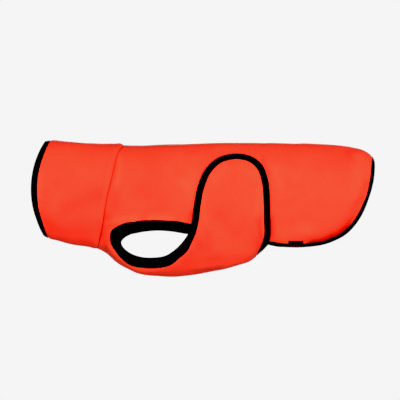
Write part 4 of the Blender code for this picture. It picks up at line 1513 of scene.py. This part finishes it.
WING_TAPE_FROM = -112.0  # the leg tape ends at this height on the wing's front edge, and the wing tape starts

leg_from = int(np.argmax(tip_x < LEG_TAPE_FROM))
wing_from = TIP_STOP + int(np.argmax(skin(tip_x, tip_a)[TIP_STOP:, 2] > WING_TAPE_FROM))
wing_to, leg_to = STOPS - wing_from, STOPS - leg_from  # the same two stops on the right
neck_tape = sew_tape("neck_tape_sewn", neck_edge, np.arange(NECK_SLICES), closed=True)
hem_tape = sew_tape("hem_tape_sewn", long_edge, np.arange(-leg_from, leg_from + 1))
leg_tape_left = sew_tape("leg_tape_left_sewn", long_edge, np.arange(leg_from, wing_from + 1))
wing_tape = sew_tape("wing_tape_sewn", long_edge, np.arange(wing_from, wing_to + 1))
leg_tape_right = sew_tape("leg_tape_right_sewn", long_edge, np.arange(wing_to, leg_to + 1))

# %% [markdown]
# ## The label
#
# A short piece of ribbon, 23 mm wide, is folded double and sewn by its cut ends to the outer face of the hem
# tape, on the left. It reaches a little past the tape, and is round along its folded far edge and flat at
# its two sides. It bows a little, as a stiff ribbon does on a curved hem.

# %% Label
LABEL_FRONT, LABEL_REAR, LABEL_THICKNESS = 142.0, 165.0, 0.9
LABEL_FROM, LABEL_DEPTH = 3.4, 16.0  # how far from the hem's edge it starts, and how far on it reaches
LABEL_BOW = 0.35  # how far its far edge bows out
HEM_FRONT, HEM_REAR = 115, 200  # the stretch of the hem about it
COLUMNS, ROWS = 30, 10

x = np.linspace(LABEL_FRONT, LABEL_REAR, COLUMNS)
sides = {1: [], -1: []}  # its outer and its inner face
for share in np.linspace(0, 1, ROWS):
    s = LABEL_FROM + LABEL_DEPTH * np.sin(share * pi / 2)
    row = inset(long_line, s, -1)
    near = np.flatnonzero((row[:, 0] > HEM_FRONT) & (row[:, 0] < HEM_REAR) & (row[:, 1] < pi))
    near = near[np.argsort(row[near, 0])]
    places = np.stack([x, np.interp(x, row[near, 0], row[near, 1])], axis=1)
    at = np.interp(x, row[near, 0], near).round().astype(int)
    far = np.full(COLUMNS, FAR)
    middle, half, *_ = shape_of("coat", long_edge, places, np.full(COLUMNS, s), at, far, far)
    bow = LABEL_BOW * share * (1 - ((x - x.mean()) / (x[-1] - x.mean())) ** 2)
    under = middle + half + GAP + TAPE + GAP + bow
    fold = LABEL_THICKNESS / 2 * np.sqrt(1 - (0.97 * share) ** 4)  # almost closed at the far edge
    for side, rows in sides.items():
        rows.append(wrap(places, under + LABEL_THICKNESS / 2 + side * fold))
points = np.concatenate(sides[1] + sides[-1])
numbers = np.arange(2 * ROWS * COLUMNS).reshape(2, ROWS, COLUMNS)
faces = []
for layer in numbers:
    for first, second in zip(layer[:-1].tolist(), layer[1:].tolist()):
        faces += strip(first, second)
for row in (0, -1):
    faces += strip(numbers[0, row].tolist(), numbers[1, row].tolist())
for column in (0, -1):
    faces += strip(numbers[0, :, column].tolist(), numbers[1, :, column].tolist())
label = build("label_ribbon", points, faces, [ribbon])
print("label", len(faces), "faces")

# %% [markdown]
# ## What each piece stands for
#
# Each piece takes the place of the plain measured one, rides on the sweater's one body, and names the slot
# that its finish comes from.

# %% Hand over the pieces
Part = namedtuple("Part", "piece stands_for slot")
PARTS = [
    Part(coat, "back_panel", "fleece"),
    Part(belly, "belly_panel", "fleece"),
    Part(collar, "collar", "fleece"),
    Part(neck_tape, "neck_tape", "tape"),
    Part(hem_tape, "hem_tape", "tape"),
    Part(leg_tape_left, "leg_tape_left", "tape"),
    Part(leg_tape_right, "leg_tape_right", "tape"),
    Part(wing_tape, "wing_tape", "tape"),
    Part(label, "label", "label"),
]
for part in PARTS:
    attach(part.piece, "root")
    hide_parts(part.stands_for)

print(len(PARTS), "pieces")
